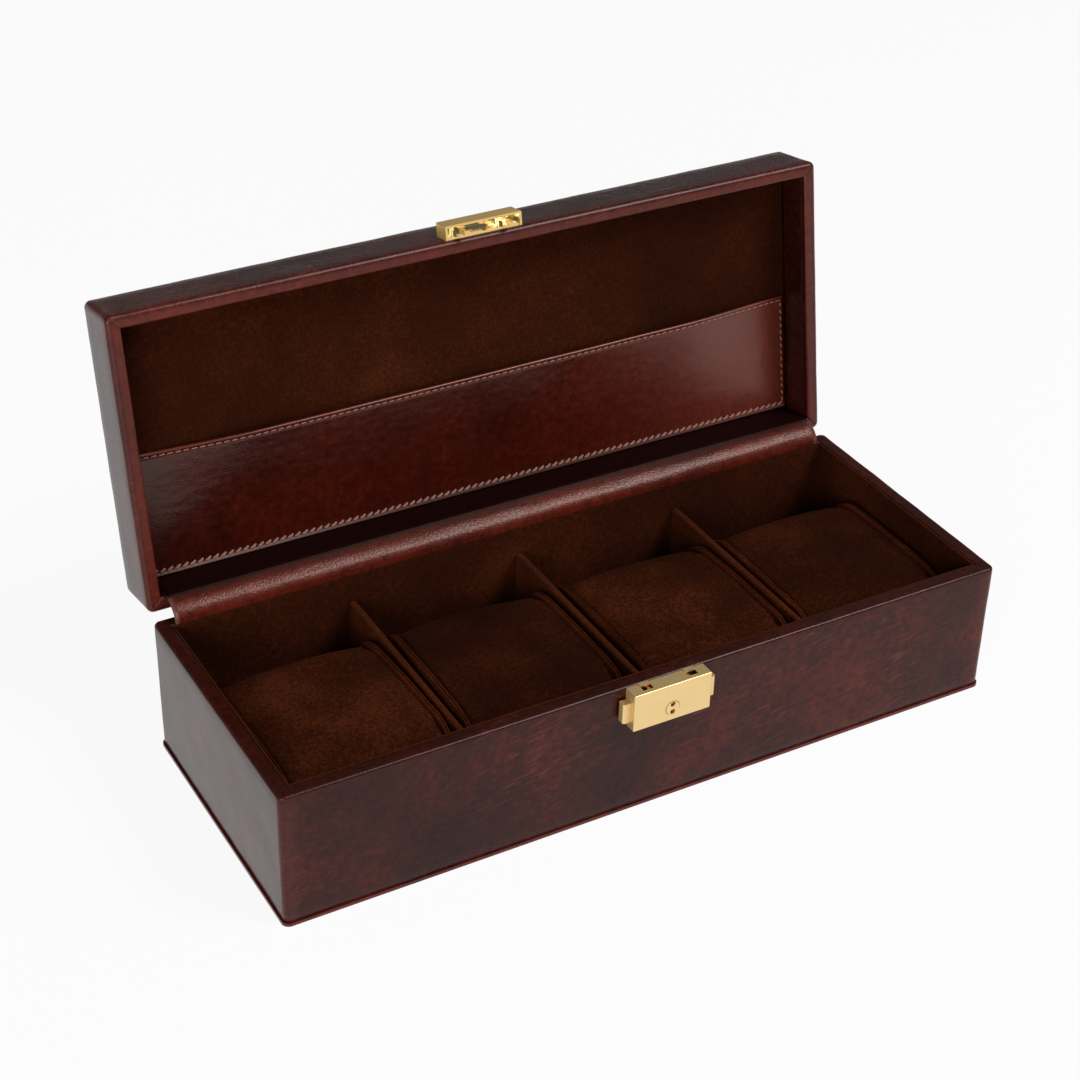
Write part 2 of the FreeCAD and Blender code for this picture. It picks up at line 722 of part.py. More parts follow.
def lock_case():
    """The brass case: round-edged, open at the back, with two hook slots, a plug hole and button openings."""
    blank = rounded(
        "lock_case_blank",
        block(
            "lock_case_block", both("(lock_width / 2)"), forward("0", "lock_proud"), (Z_LOCK_FOOT, Z_LOCK_TOP)
        ),
        [(off_the_back, "lock_round")],
    )
    tools = [
        block(
            "lock_cavity", both(X_CAVITY), forward("-overrun", P_CAVITY_FRONT), (Z_CAVITY_FOOT, Z_CAVITY_TOP)
        ),
        block(
            "button_openings",
            both("(lock_width / 2 + overrun)"),
            forward("lock_plate", f"({P_BAR_BACK} + button_thick + slide_gap)"),
            (
                f"({Z_LOCK_FOOT} + button_rise - slide_gap)",
                f"({Z_LOCK_FOOT} + button_rise + button_height + slide_gap)",
            ),
        ),
        rod(
            "plug_hole",
            "plug_radius + plug_fit",
            "lock_front + 2 * overrun",
            ("0", f"(-{Y_OUT} - lock_proud - overrun)", Z_PLUG),
            heading="back",
        ),
    ]
    for side in SIDES:
        tools.append(
            block(
                f"{side}_hook_slot",
                on_side(side, f"(slot_spread - {SLOT_HALF})", f"(slot_spread + {SLOT_HALF})"),
                forward("-overrun", f"({P_HOOK_FRONT} + slot_lip)"),
                (Z_HOOK_TIP, f"({Z_LOCK_TOP} + overrun)"),
            )
        )
    return cut("lock_case", blank, tools)


def lock_back_plate(drilled):
    """The plate behind the works, with the springs' post and two ears that fill the slots' backs."""
    fit = "slide_gap"
    plate = block(
        "lock_plate_blank",
        both(f"({X_CAVITY} - {fit})"),
        forward("0", "lock_plate"),
        (f"({Z_CAVITY_FOOT} + {fit})", f"({Z_CAVITY_TOP} - {fit})"),
    )
    post = block(
        "spring_post",
        both(X_POST),
        forward("0", P_POST_FRONT),
        (f"({Z_SPRING} - {POST_HALF})", f"({Z_SPRING} + {POST_HALF})"),
    )
    pieces = [plate, post]
    ear_top = f"({Z_LOCK_TOP} + ear_proud)"
    for side in SIDES:
        ear_x = on_side(side, f"(slot_spread - {SLOT_HALF} + {fit})", f"(slot_spread + {SLOT_HALF} - {fit})")
        pieces += [
            block(f"{side}_ear_stem", ear_x, forward("0", "lock_plate"), (Z_PLUG, ear_top)),
            block(f"{side}_ear", ear_x, forward("0", f"({P_BAR_FRONT} - {fit})"), (Z_CAVITY_TOP, ear_top)),
        ]
    return cut("lock_back_plate", joined("lock_plate_and_ears", pieces), [drilled["lock_screws"]])


def button(side):
    """A push button in one piece with its slider, catch, foot and spring tab."""
    name = f"{side}_button"
    bar_z = (f"({Z_CAVITY_FOOT} + 2 * slide_gap)", f"({Z_CAVITY_TOP} - slide_gap)")
    cap_block = block(
        f"{name}_cap_block",
        on_side(side, X_TAB, "(lock_width / 2 + button_reach)"),
        forward(P_BAR_BACK, f"({P_BAR_BACK} + button_thick)"),
        (f"({Z_LOCK_FOOT} + button_rise)", f"({Z_LOCK_FOOT} + button_rise + button_height)"),
    )
    cap = doc.addObject("Part::Chamfer", f"{name}_cap")
    cap.Base = cap_block
    outer = 0 if SIDES[side] < 0 else 1
    bevel = number("button_bevel")
    cap.Edges = [
        (index, bevel, bevel)
        for index, shares in edge_shares(cap_block)
        if upright(shares) and shares[0] == outer and shares[1] == 0
    ]
    catch_foot = f"({Z_HOOK_TIP} + barb_height + catch_gap)"
    catch_end = "(slot_spread - hook_width / 2 + barb - catch_gap)"
    pieces = [
        cap,
        block(f"{name}_bar", on_side(side, X_BAR_IN, X_BAR_OUT), forward(P_BAR_BACK, P_BAR_FRONT), bar_z),
        block(
            f"{name}_catch",
            on_side(side, X_BAR_IN, catch_end),
            forward(P_BAR_BACK, P_HOOK_FRONT),
            (catch_foot, bar_z[1]),
        ),
        block(
            f"{name}_foot",
            on_side(side, X_FOOT, f"({X_BAR_IN} + foot_width)"),
            forward(P_BAR_BACK, P_CAM_FRONT),
            (f"({Z_PLUG} - foot_height / 2)", f"({Z_PLUG} + foot_height / 2)"),
        ),
        block(
            f"{name}_tab",
            on_side(side, X_TAB, X_BAR_OUT),
            forward(P_BAR_BACK, P_POST_FRONT),
            (f"({Z_SPRING} - {POST_HALF})", f"({Z_SPRING} + {POST_HALF})"),
        ),
    ]
    return joined(name, pieces)


def spring(side):
    """A compression spring from the post to the slider's tab, drawn as the sleeve that its coil fills."""
    span = on_side(side, X_POST, X_TAB)
    middle_y = f"(-{Y_OUT} - {P_SPRING})"
    outside = rod_along_x(f"{side}_spring_outside", "spring_radius", span, middle_y, Z_SPRING)
    past = (f"({span[0]} - overrun)", f"({span[1]} + overrun)")
    bore = rod_along_x(f"{side}_spring_bore", "spring_radius - spring_wire", past, middle_y, Z_SPRING)
    return cut(f"{side}_button_spring", outside, [bore])


def key_plug():
    """The plug that the key turns: shoulder, stem and the two holes for the key's prongs."""
    front = "(lock_proud + plug_proud)"
    shoulder_front = f"({P_CAVITY_FRONT} - slide_gap)"
    pieces = [
        rod(
            "plug_barrel",
            "plug_radius",
            f"{front} - {P_PLUG_BACK}",
            ("0", f"(-{Y_OUT} - {front})", Z_PLUG),
            heading="back",
        ),
        rod(
            "plug_shoulder_disc",
            SHOULDER_RADIUS,
            "shoulder_thick",
            ("0", f"(-{Y_OUT} - {shoulder_front})", Z_PLUG),
            heading="back",
        ),
        rod(
            "plug_stem",
            "stem_radius",
            f"{front} - {P_HOOK_BACK}",
            ("0", f"(-{Y_OUT} - {front})", Z_PLUG),
            heading="back",
        ),
    ]
    key_holes = [
        rod(
            f"{place_name}_key_hole",
            "key_hole_radius",
            "key_depth + overrun",
            ("0", f"(-{Y_OUT} - {front} - overrun)", f"({Z_PLUG} {sign} key_hole_spread)"),
            heading="back",
        )
        for place_name, sign in (("upper", "+"), ("lower", "-"))
    ]
    return cut("key_plug", joined("key_plug_blank", pieces), key_holes)


def lock_cam():
    """The bar on the plug's stem that stands between the sliders when the lock is locked."""
    bar = block(
        "lock_cam_bar",
        both("(cam_width / 2)"),
        forward(P_HOOK_BACK, P_CAM_FRONT),
        (f"({Z_PLUG} - {SHOULDER_RADIUS})", f"({Z_PLUG} + {SHOULDER_RADIUS})"),
    )
    eye = rod(
        "lock_cam_eye",
        "(stem_radius + cam_width / 4)",
        "cam_thick",
        ("0", f"(-{Y_OUT} - {P_CAM_FRONT})", Z_PLUG),
        heading="back",
    )
    hole = rod(
        "lock_cam_hole",
        "stem_radius",
        "cam_thick + 2 * overrun",
        ("0", f"(-{Y_OUT} - {P_CAM_FRONT} - overrun)", Z_PLUG),
        heading="back",
    )
    return cut("lock_cam", joined("lock_cam_blank", [bar, eye]), [hole])


def strike(drilled):
    """The brass shell on the lid front and the plate inside it with the two hooks."""
    blank = rounded(
        "strike_blank",
        block(
            "strike_block",
            both("(strike_width / 2)"),
            forward("0", "strike_proud"),
            (Z_STRIKE_FOOT, Z_STRIKE_TOP),
            lid=True,
        ),
        [(lambda shares: off_the_back(shares) and not around_foot(shares), "lock_round")],
    )
    hollow = block(
        "strike_hollow",
        both("(strike_width / 2 - strike_wall)"),
        forward("-overrun", "(strike_proud - strike_wall)"),
        (f"({Z_STRIKE_FOOT} - overrun)", f"({Z_STRIKE_TOP} - strike_wall)"),
        lid=True,
    )
    plate_top = f"({Z_STRIKE_TOP} - strike_wall - strike_plate_gap)"
    pieces = [
        block(
            "strike_plate_blank",
            both("(strike_width / 2 - strike_wall - strike_plate_gap)"),
            forward("0", "strike_plate"),
            (f"({Z_STRIKE_FOOT} + strike_plate_gap)", plate_top),
            lid=True,
        )
    ]
    for side in SIDES:
        stem = on_side(side, "(slot_spread - hook_width / 2 + barb)", "(slot_spread + hook_width / 2)")
        barb = on_side(side, "(slot_spread - hook_width / 2)", "(slot_spread + hook_width / 2)")
        hook_y = forward(P_HOOK_BACK, P_HOOK_FRONT)
        pieces += [
            block(f"{side}_hook_stem", stem, hook_y, (Z_HOOK_TIP, plate_top), lid=True),
            block(f"{side}_hook_barb", barb, hook_y, (Z_HOOK_TIP, f"({Z_HOOK_TIP} + barb_height)"), lid=True),
            block(
                f"{side}_hook_arm",
                stem,
                forward("0", P_HOOK_FRONT),
                (f"({plate_top} - hook_arm)", plate_top),
                lid=True,
            ),
        ]
    return [
        cut("strike_shell", blank, [hollow]),
        cut("strike_hooks", joined("strike_hooks_blank", pieces), [drilled["strike_screws"]]),
    ]


def check(pieces):
    """Stop if anything failed to build."""
    for thing in doc.Objects:
        if "Invalid" in thing.State or "Error" in thing.State:
            raise RuntimeError(f"{thing.Label} did not build: {thing.State}")
    for piece in pieces:
        if piece.Shape.isNull() or not piece.Shape.isValid() or not piece.Shape.Solids:
            raise RuntimeError(f"{piece.Label} has no valid solid")


drilled = make_screws()
nodes = list(drilled.values())
nodes += base_walls(drilled)
nodes += dividers()
nodes += cushions()
nodes += lid_walls(drilled)
nodes += hinges(drilled)
nodes.append(hinge_strip())
nodes.append(lock_case())
nodes.append(lock_back_plate(drilled))
for side in SIDES:
    nodes.append(button(side))
    nodes.append(spring(side))
nodes.append(key_plug())
nodes.append(lock_cam())
nodes += strike(drilled)
doc.recompute()
check(nodes)

os.makedirs("parts", exist_ok=True)
for node in nodes:
    node.Shape.exportStep(f"parts/{node.Label}.step")
print(len(nodes), "pieces written")
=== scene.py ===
# %% [markdown]
# # A leather watch box
# The real box is a thin wooden carcass covered in polished mahogany leather and lined with brown suede.
# It holds four loose watch cushions, and has a sewn pocket in the lid and a brass case lock.
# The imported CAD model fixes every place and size, so this lesson only dresses it. Each soft piece becomes
# a mesh of its own, and each metal piece keeps its CAD form and gets a better finish.

# %% Load the frame
import json
import math

import bmesh
import bpy
from mathutils import Matrix, Vector, noise


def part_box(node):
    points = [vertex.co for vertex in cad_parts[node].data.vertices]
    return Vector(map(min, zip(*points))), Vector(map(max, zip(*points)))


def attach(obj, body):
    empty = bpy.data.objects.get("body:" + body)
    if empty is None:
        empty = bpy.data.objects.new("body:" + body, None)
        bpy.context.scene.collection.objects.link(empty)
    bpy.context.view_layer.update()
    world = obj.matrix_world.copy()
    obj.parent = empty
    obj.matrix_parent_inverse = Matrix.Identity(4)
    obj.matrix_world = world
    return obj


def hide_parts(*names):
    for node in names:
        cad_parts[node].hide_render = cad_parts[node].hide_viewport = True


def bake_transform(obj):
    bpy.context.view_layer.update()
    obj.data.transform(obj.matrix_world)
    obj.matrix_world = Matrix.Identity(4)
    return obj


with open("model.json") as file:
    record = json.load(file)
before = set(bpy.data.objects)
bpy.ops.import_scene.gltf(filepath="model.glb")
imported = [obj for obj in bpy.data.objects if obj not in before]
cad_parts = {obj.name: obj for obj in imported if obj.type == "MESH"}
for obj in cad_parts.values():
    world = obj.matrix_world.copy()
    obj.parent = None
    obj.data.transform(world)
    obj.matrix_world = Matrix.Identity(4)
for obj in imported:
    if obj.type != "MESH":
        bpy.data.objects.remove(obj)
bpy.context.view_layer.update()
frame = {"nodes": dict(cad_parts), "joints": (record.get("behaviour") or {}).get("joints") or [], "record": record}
MM = 0.001

# %% [markdown]
# ## The camera
# A camera can be aimed by eye, or worked out from the photograph. The box is full of right angles, so the
# place, the turn and the focal length come from a fit of its edges, in a picture 1080 pixels wide.

# %% Camera
PICTURE_WIDTH = 1080
FOCAL_PIXELS = 2247.44
SENSOR_WIDTH = 36.0
CAMERA_PLACE = Vector((-369.37, -605.35, 543.84)) * MM
CAMERA_AZIMUTH = math.radians(-29.977)
CAMERA_ELEVATION = math.radians(33.119)
CAMERA_ROLL = math.radians(1.452)


def placed(name, data):
    """New object in the scene."""
    made = bpy.data.objects.new(name, data)
    bpy.context.scene.collection.objects.link(made)
    return made


camera_data = bpy.data.cameras.new("photo_camera")
camera_data.sensor_width = SENSOR_WIDTH
camera_data.lens = FOCAL_PIXELS / PICTURE_WIDTH * SENSOR_WIDTH
camera = placed("photo_camera", camera_data)
aim = Matrix.Rotation(CAMERA_AZIMUTH, 4, "Z") @ Matrix.Rotation(math.pi / 2 - CAMERA_ELEVATION, 4, "X")
camera.matrix_world = Matrix.Translation(CAMERA_PLACE) @ aim @ Matrix.Rotation(CAMERA_ROLL, 4, "Z")
bpy.context.scene.camera = camera
print("lens", round(camera_data.lens, 2), "mm")

# %% [markdown]
# ## Shader sums
# Blender's shader maths is drawn as nodes, which is slow to read. A small class that wraps a socket lets us
# write the sums as Python instead: every plus, minus or times adds one Math node. A second class holds one
# material and has one method that adds any other node.


# %% A socket that takes part in sums
class Wire:
    """A value that changes over a surface."""

    def __init__(self, finish, socket):
        self.finish = finish
        self.socket = socket

    def sum(self, operation, first, second=0.0):
        return self.finish.node("ShaderNodeMath", {"operation": operation}, {0: first, 1: second})

    def __add__(self, other):
        return self.sum("ADD", self, other)

    def __radd__(self, other):
        return self.sum("ADD", other, self)

    def __sub__(self, other):
        return self.sum("SUBTRACT", self, other)

    def __rsub__(self, other):
        return self.sum("SUBTRACT", other, self)

    def __mul__(self, other):
        return self.sum("MULTIPLY", self, other)

    def __rmul__(self, other):
        return self.sum("MULTIPLY", other, self)

    def clamped(self):
        return self.sum("MINIMUM", self.sum("MAXIMUM", self, 0.0), 1.0)

    def above(self, level, steepness):
        """0 up to a level, and rising to 1 past it."""
        return ((self - level) * steepness).clamped()


# %% A material and its nodes
class Finish:
    """One material: node() adds any node, and the other methods name the ones used most."""

    def __init__(self, name, **sockets):
        self.material = bpy.data.materials.new(name)
        self.material.use_nodes = True
        self.tree = self.material.node_tree
        self.shader = self.tree.nodes["Principled BSDF"]
        self.place = self.node("ShaderNodeTexCoord", output="Object")
        self.set(**{key.replace("_", " "): value for key, value in sockets.items()})

    def fill(self, sockets, key, value):
        if isinstance(value, Wire):
            self.tree.links.new(value.socket, sockets[key])
        else:
            sockets[key].default_value = value

    def node(self, kind, settings=None, sockets=None, output=0):
        made = self.tree.nodes.new(kind)
        for key, value in (settings or {}).items():
            if key == "stops":
                self.set_stops(made.color_ramp, value)
            else:
                setattr(made, key, value)
        for key, value in (sockets or {}).items():
            self.fill(made.inputs, key, value)
        return Wire(self, made.outputs[output])

    def set_stops(self, ramp, stops):
        while len(ramp.elements) < len(stops):
            ramp.elements.new(1.0)
        for element, (place, colour) in zip(ramp.elements, stops):
            element.position = place
            element.color = solid(colour)

    def set(self, **sockets):
        for key, value in sockets.items():
            self.fill(self.shader.inputs, key, value)

    def blotch(self, scale, detail=3.0, roughness=0.5, distortion=0.0, place=None):
        sockets = {"Vector": place or self.place, "Scale": scale, "Detail": detail}
        sockets.update({"Roughness": roughness, "Distortion": distortion})
        return self.node("ShaderNodeTexNoise", None, sockets)

    def stretched(self, scales, place=None):
        sockets = {0: place or self.place, 1: scales}
        return self.node("ShaderNodeVectorMath", {"operation": "MULTIPLY"}, sockets)

    def cells(self, scale):
        sockets = {"Vector": self.place, "Scale": scale}
        return self.node("ShaderNodeTexVoronoi", {"feature": "DISTANCE_TO_EDGE"}, sockets)

    def ramp(self, value, stops):
        return self.node("ShaderNodeValToRGB", {"stops": stops}, {0: value})

    def mix(self, share, first, second):
        sockets = {0: share, 6: first, 7: second}
        return self.node("ShaderNodeMix", {"data_type": "RGBA"}, sockets, output=2)

    def mark(self, name):
        return self.node("ShaderNodeAttribute", {"attribute_name": name}, output="Fac")

    def bump(self, height, strength, distance):
        sockets = {"Height": height, "Strength": strength, "Distance": distance}
        return self.node("ShaderNodeBump", None, sockets)


def solid(colour):
    return (*colour, 1.0)


print("shader kit ready")

# %% [markdown]
# ## Floor, sky and lamps
# The photograph was taken on white under soft light. A dim plain world lights the box from all round, a low
# lamp on the left lights the inside of the lid, and a high one on the right draws the highlights along the
# rounded edges. The floor shows almost white to the camera and to reflections, and keeps a faint shadow.

# %% Sky and lamps
WHITE = (1.0, 1.0, 1.0)
SKY_STRENGTH = 0.15
LAMP_TARGET = Vector((0.0, 0.0, 0.05))
# Place, width and power of each lamp
LAMPS = {
    "front_left_lamp": (Vector((-1.5, -1.6, 0.7)), 1.4, 34.0),
    "front_right_lamp": (Vector((0.85, -0.8, 1.5)), 0.9, 24.0),
}

bpy.context.scene.view_settings.view_transform = "Standard"
world = bpy.data.worlds.new("pale_sky")
world.use_nodes = True
sky = world.node_tree.nodes["Background"]
sky.inputs["Color"].default_value = solid(WHITE)
sky.inputs["Strength"].default_value = SKY_STRENGTH
bpy.context.scene.world = world
for name, (place, width, power) in LAMPS.items():
    lamp_data = bpy.data.lights.new(name, "AREA")
    lamp_data.shape = "DISK"
    lamp_data.size = width
    lamp_data.energy = power
    lamp = placed(name, lamp_data)
    lamp.location = place
    lamp.rotation_euler = (LAMP_TARGET - place).to_track_quat("-Z", "Y").to_euler()
print(len(LAMPS), "lamps ready")

# %% Floor
FLOOR_RADIUS = 12.0
FLOOR_SIDES = 96
FLOOR_COLOUR = (0.8, 0.8, 0.8)
FLOOR_ROUGHNESS = 0.9
FLOOR_WHITE = 0.92

floor_mesh = bpy.data.meshes.new("floor")
floor_shape = bmesh.new()
bmesh.ops.create_circle(floor_shape, cap_ends=True, radius=FLOOR_RADIUS, segments=FLOOR_SIDES)
floor_shape.to_mesh(floor_mesh)
floor_shape.free()
floor = placed("floor", floor_mesh)
floor_finish = Finish("white_floor", Base_Color=solid(FLOOR_COLOUR), Roughness=FLOOR_ROUGHNESS)
seen = 0.0
for kind in ("Camera", "Glossy", "Transmission"):
    seen = seen + floor_finish.node("ShaderNodeLightPath", output=f"Is {kind} Ray")
glow = floor_finish.node("ShaderNodeEmission", None, {"Color": solid(WHITE), "Strength": 1.0})
plain = Wire(floor_finish, floor_finish.shader.outputs[0])
sockets = {0: seen.clamped() * FLOOR_WHITE, 1: plain, 2: glow}
shown = floor_finish.node("ShaderNodeMixShader", None, sockets)
floor_finish.tree.links.new(shown.socket, floor_finish.tree.nodes["Material Output"].inputs["Surface"])
floor_mesh.materials.append(floor_finish.material)
print("floor ready")

# %% [markdown]
# ## Places in the lid
# The lid stands open at rest, tilted back, so its pieces are awkward to size there. The hinge says how far it
# swings: we work on the shut lid, where everything is square to the box, and swing each finished mesh open.

# %% The swing of the lid
lid_hinge = next(joint for joint in frame["joints"] if joint["name"] == "lid_hinge")
lid_pivot = Vector(lid_hinge["pos_m"])
lid_angle = -math.radians(lid_hinge["range_deg"][0])
lid_swing = Matrix.Rotation(lid_angle, 4, Vector(lid_hinge["axis"]))
OPENED = Matrix.Translation(lid_pivot) @ lid_swing @ Matrix.Translation(-lid_pivot)


def shut_box(node):
    """Lowest and highest corners of a lid node with the lid shut."""
    shut = OPENED.inverted()
    corners = [shut @ vertex.co for vertex in frame["nodes"][node].data.vertices]
    low = Vector([min(corner[axis] for corner in corners) for axis in range(3)])
    high = Vector([max(corner[axis] for corner in corners) for axis in range(3)])
    return low, high


print("shut lid", [[round(value, 4) for value in corner] for corner in shut_box("lid_leather")])

# %% [markdown]
# ## Polished leather
# The cover is vegetable-tanned leather, stained by hand in several coats and polished. Up close it has
# cloudy patches of dark and red brown, slanting scuffs where the stain has rubbed, tiny pores and a soft
# shine. Layers of noise at different sizes give each of these. Marks stored in the meshes darken the mitres,
# and paint shade on the base's rim and on the shelf of the hinge strip. They redden the rubbed edges, and
# paint light on the right side of the pocket, and they show the pale inside of the hide where it is cut.

# %% Dyes of the leather
# Dark, middle and red stain
COVER_DYES = ((0.016, 0.003, 0.0021), (0.032, 0.005, 0.003), (0.095, 0.0125, 0.0058))
POCKET_DYES = ((0.02, 0.0018, 0.0007), (0.034, 0.0032, 0.0012), (0.064, 0.0072, 0.0026))
# Lighter, redder copy of the stain: painted light for the lit roll of the hinge strip and the bottom cover's edge
PAINTED_LIGHT_DYES = ((0.042, 0.0042, 0.0018), (0.085, 0.0085, 0.0034), (0.14, 0.0165, 0.0062))
DYE_STOPS = (0.4, 0.52, 0.7)
# Dark of the mitres, and painted shade for the base's rim and the shelf of the hinge strip
MITRE_AND_SHADE_DARK = (0.009, 0.0012, 0.0008)
# Red of rubbed edges and rims, and painted light on the right side of the pocket
RUBBED_AND_LIT_RED = (0.155, 0.019, 0.0078)
LEATHER_SCUFF = (0.15, 0.032, 0.02)
RAW_EDGE = (0.2, 0.11, 0.095)
WARM_SHINE = (1.0, 0.74, 0.66, 1.0)
print("leather dyes", DYE_STOPS)

# %% Leather finishes
CLOUD_SCALE = 16.0
CLOUD_SHARE = 0.6
STAIN_SCALE = 330.0
PORE_SCALE = 1500.0
PORE_DYE = 0.35
PATCH_SCALE = 26.0
# Level and steepness at which each starts to show
PORE_SHOWS = (0.58, 6.0)
STROKE_SHOWS = (0.54, 6.0)
PATCH_SHOWS = (0.4, 4.0)
STROKE_SCALES = (130.0, 320.0, 860.0)
STROKE_SLANT = math.radians(10.0)
SCUFF_STRENGTH = 0.45
CREASE_SCALE = 420.0
CREASE_STEEPNESS = 9.0
EDGE_COAT = 0.35
COAT_ROUGHNESS = 0.4
LEATHER_BUMP = 0.3 * MM


def leather(name, dyes, shine, grain, folds, scuffs=0.0, **sockets):
    """grain, folds and scuffs: how much of each shows in the surface."""
    finish = Finish(name, Coat_Roughness=COAT_ROUGHNESS, **sockets)
    raw, edge, mitre = [finish.mark(mark) for mark in ("raw", "edge", "mitre")]
    clouds = finish.blotch(CLOUD_SCALE, detail=6.0, roughness=0.66)
    stain = finish.blotch(STAIN_SCALE, detail=4.0, roughness=0.65)
    pores = finish.blotch(PORE_SCALE, detail=2.0)
    cloudy = clouds * CLOUD_SHARE + stain * (1.0 - CLOUD_SHARE)
    colour = finish.ramp(cloudy, list(zip(DYE_STOPS, dyes)))
    colour = finish.mix(pores.above(*PORE_SHOWS) * PORE_DYE, colour, solid(dyes[2]))
    turn = {"Vector": finish.place, "Angle": STROKE_SLANT}
    slanted = finish.node("ShaderNodeVectorRotate", {"rotation_type": "Y_AXIS"}, turn)
    strokes = finish.blotch(1.0, distortion=0.5, place=finish.stretched(STROKE_SCALES, slanted))
    patch = finish.blotch(PATCH_SCALE, detail=2.0)
    scuff = strokes.above(*STROKE_SHOWS) * patch.above(*PATCH_SHOWS) * scuffs
    colour = finish.mix(scuff * SCUFF_STRENGTH, colour, solid(LEATHER_SCUFF))
    # Rubbed edges and rims turn redder, and the pocket's right side gets painted light
    colour = finish.mix(edge * (0.1 + stain * 0.7), colour, solid(RUBBED_AND_LIT_RED))
    # Dark mitres, and painted shade on the base's rim and on the strip's shelf
    colour = finish.mix(mitre, colour, solid(MITRE_AND_SHADE_DARK))
    colour = finish.mix(raw, colour, solid(RAW_EDGE))
    creases = (finish.cells(CREASE_SCALE) * CREASE_STEEPNESS).clamped()
    height = pores * 0.6 + creases * 0.2 + stain * folds - scuff * 0.5
    worn = raw * 0.4 + edge * 0.15 + mitre * 0.2
    finish.set(**{"Base Color": colour, "Roughness": stain * 0.16 + shine + worn})
    finish.set(**{"Coat Weight": edge * EDGE_COAT})
    finish.set(Normal=finish.bump(height * (1.0 - mitre), grain, LEATHER_BUMP))
    return finish


warm = {"Specular_Tint": WARM_SHINE}
cover_leather = leather(
    "polished_leather", COVER_DYES, shine=0.12, grain=0.2, folds=0.6, scuffs=1.0, IOR=1.28
)
wall_leather = leather("wall_leather", COVER_DYES, shine=0.14, grain=0.1, folds=0.2, IOR=1.3)
pocket_leather = leather("pocket_leather", POCKET_DYES, shine=0.13, grain=0.16, folds=0.28, IOR=1.58, **warm)
# The roll's lighter dyes are painted light
strip_leather = leather("strip_leather", PAINTED_LIGHT_DYES, shine=0.27, grain=0.62, folds=0.06, IOR=1.52, **warm)
# Weaker shine for the shelf of the hinge strip, which the mark paints dark as shade
shelf_leather = leather("shelf_leather", PAINTED_LIGHT_DYES, shine=0.3, grain=0.3, folds=0.06, IOR=1.12)
# The lighter dyes paint light on the bottom cover's edge, which sits in the shade along the floor
bottom_leather = leather("bottom_leather", PAINTED_LIGHT_DYES, shine=0.2, grain=0.2, folds=0.3, IOR=1.4)
print("leather finishes ready")

# %% [markdown]
# ## Suede
# Suede is the fleshy side of a hide, brushed so that its fibres stand up. It has no shine, but it turns paler
# where the nap is seen edge on, and its colour clouds where a finger has brushed it. A sheen layer gives the
# first, and two sizes of noise the second. Cut edges show the tan inside of the skin.

# %% Suede finish
# Deep, middle and pale brown
SUEDE_DYES = ((0.02, 0.0042, 0.0013), (0.038, 0.0074, 0.0021), (0.08, 0.0178, 0.0055))
SUEDE_CUT = (0.06, 0.0175, 0.006)
SUEDE_SHINE = {"Sheen_Weight": 0.04, "Sheen_Roughness": 0.4, "Sheen_Tint": (0.5, 0.2, 0.09, 1.0), "IOR": 1.12}
SUEDE_CLOUD_SCALE = 22.0
NAP_SCALE = 700.0
FIBRE_SCALE = 2600.0
FIBRE_DYE = 0.6
FIBRE_SHOWS = (0.66, 9.0)
SUEDE_RELIEF = 0.5
SUEDE_BUMP = 0.5 * MM


def suede(name, contrast, strength, cloud_scale=SUEDE_CLOUD_SCALE):
    """contrast: how far the deep and pale stops lie from the middle; strength: of the dyes."""
    finish = Finish(name, **SUEDE_SHINE)
    clouds = finish.blotch(cloud_scale, detail=4.0, roughness=0.55)
    nap = finish.blotch(NAP_SCALE, detail=4.0, roughness=0.75)
    fibres = finish.blotch(FIBRE_SCALE, detail=2.0)
    dyes = [tuple(part * strength for part in dye) for dye in SUEDE_DYES]
    stops = list(zip((0.5 - contrast, 0.5, 0.5 + contrast), dyes))
    colour = finish.ramp(clouds * 0.5 + nap * 0.5, stops)
    colour = finish.mix(fibres.above(*FIBRE_SHOWS) * FIBRE_DYE, colour, solid(SUEDE_DYES[2]))
    colour = finish.mix(finish.mark("raw"), colour, solid(SUEDE_CUT))
    finish.set(**{"Base Color": colour, "Roughness": 0.85 + nap * 0.15})
    height = nap * 0.7 + fibres * 0.3 + clouds * 0.5
    finish.set(Normal=finish.bump(height, SUEDE_RELIEF, SUEDE_BUMP))
    return finish


cushion_suede = suede("cushion_suede", contrast=0.1, strength=0.92)
brushed_suede = suede("brushed_suede", contrast=0.13, strength=0.6)
# Painted light: a brighter copy of the suede for the dividers and the cushions' lips, in place of the light from
# the left
painted_light_suede = suede("painted_light_suede", contrast=0.15, strength=1.35)
lining_suede = suede("lining_suede", contrast=0.15, strength=0.72, cloud_scale=CLOUD_SCALE)
print("suede finishes ready")

# %% [markdown]
# ## Brass, thread and the hidden materials
# The lock is satin brass under a clear lacquer, the strike is polished. Satin comes from fine parallel
# scratches, so a noise that is stretched along the box breaks up the shine. Inside the lock the metal is
# painted dark brown, as painted shade in its slots and key holes, and inside the strike it is paler and
# smoother. The wood, card and steel inside the box are seldom seen, but each still has its own grain.

# %% Metal finishes
SCRATCH_SCALES = (90.0, 2600.0, 2600.0)
SCRATCH_RELIEF = 0.06
SCRATCH_BUMP = 0.1 * MM
HAZE_SCALE = 240.0
HOLLOW_EDGE = 0.6 * MM


def brass(name, colour, deep, shine, spread=0.14, metal=1.0):
    """spread: how much the scratches add to the roughness."""
    finish = Finish(name, Metallic=metal)
    finish.metal = metal
    scratches = finish.blotch(1.0, detail=2.0, place=finish.stretched(SCRATCH_SCALES))
    haze = finish.blotch(HAZE_SCALE)
    finish.tone = finish.mix(haze * 0.5, solid(colour), solid(deep))
    finish.rough = scratches * spread + haze * 0.06 + shine
    finish.set(**{"Base Color": finish.tone, "Roughness": finish.rough})
    finish.set(Normal=finish.bump(scratches, SCRATCH_RELIEF, SCRATCH_BUMP))
    return finish


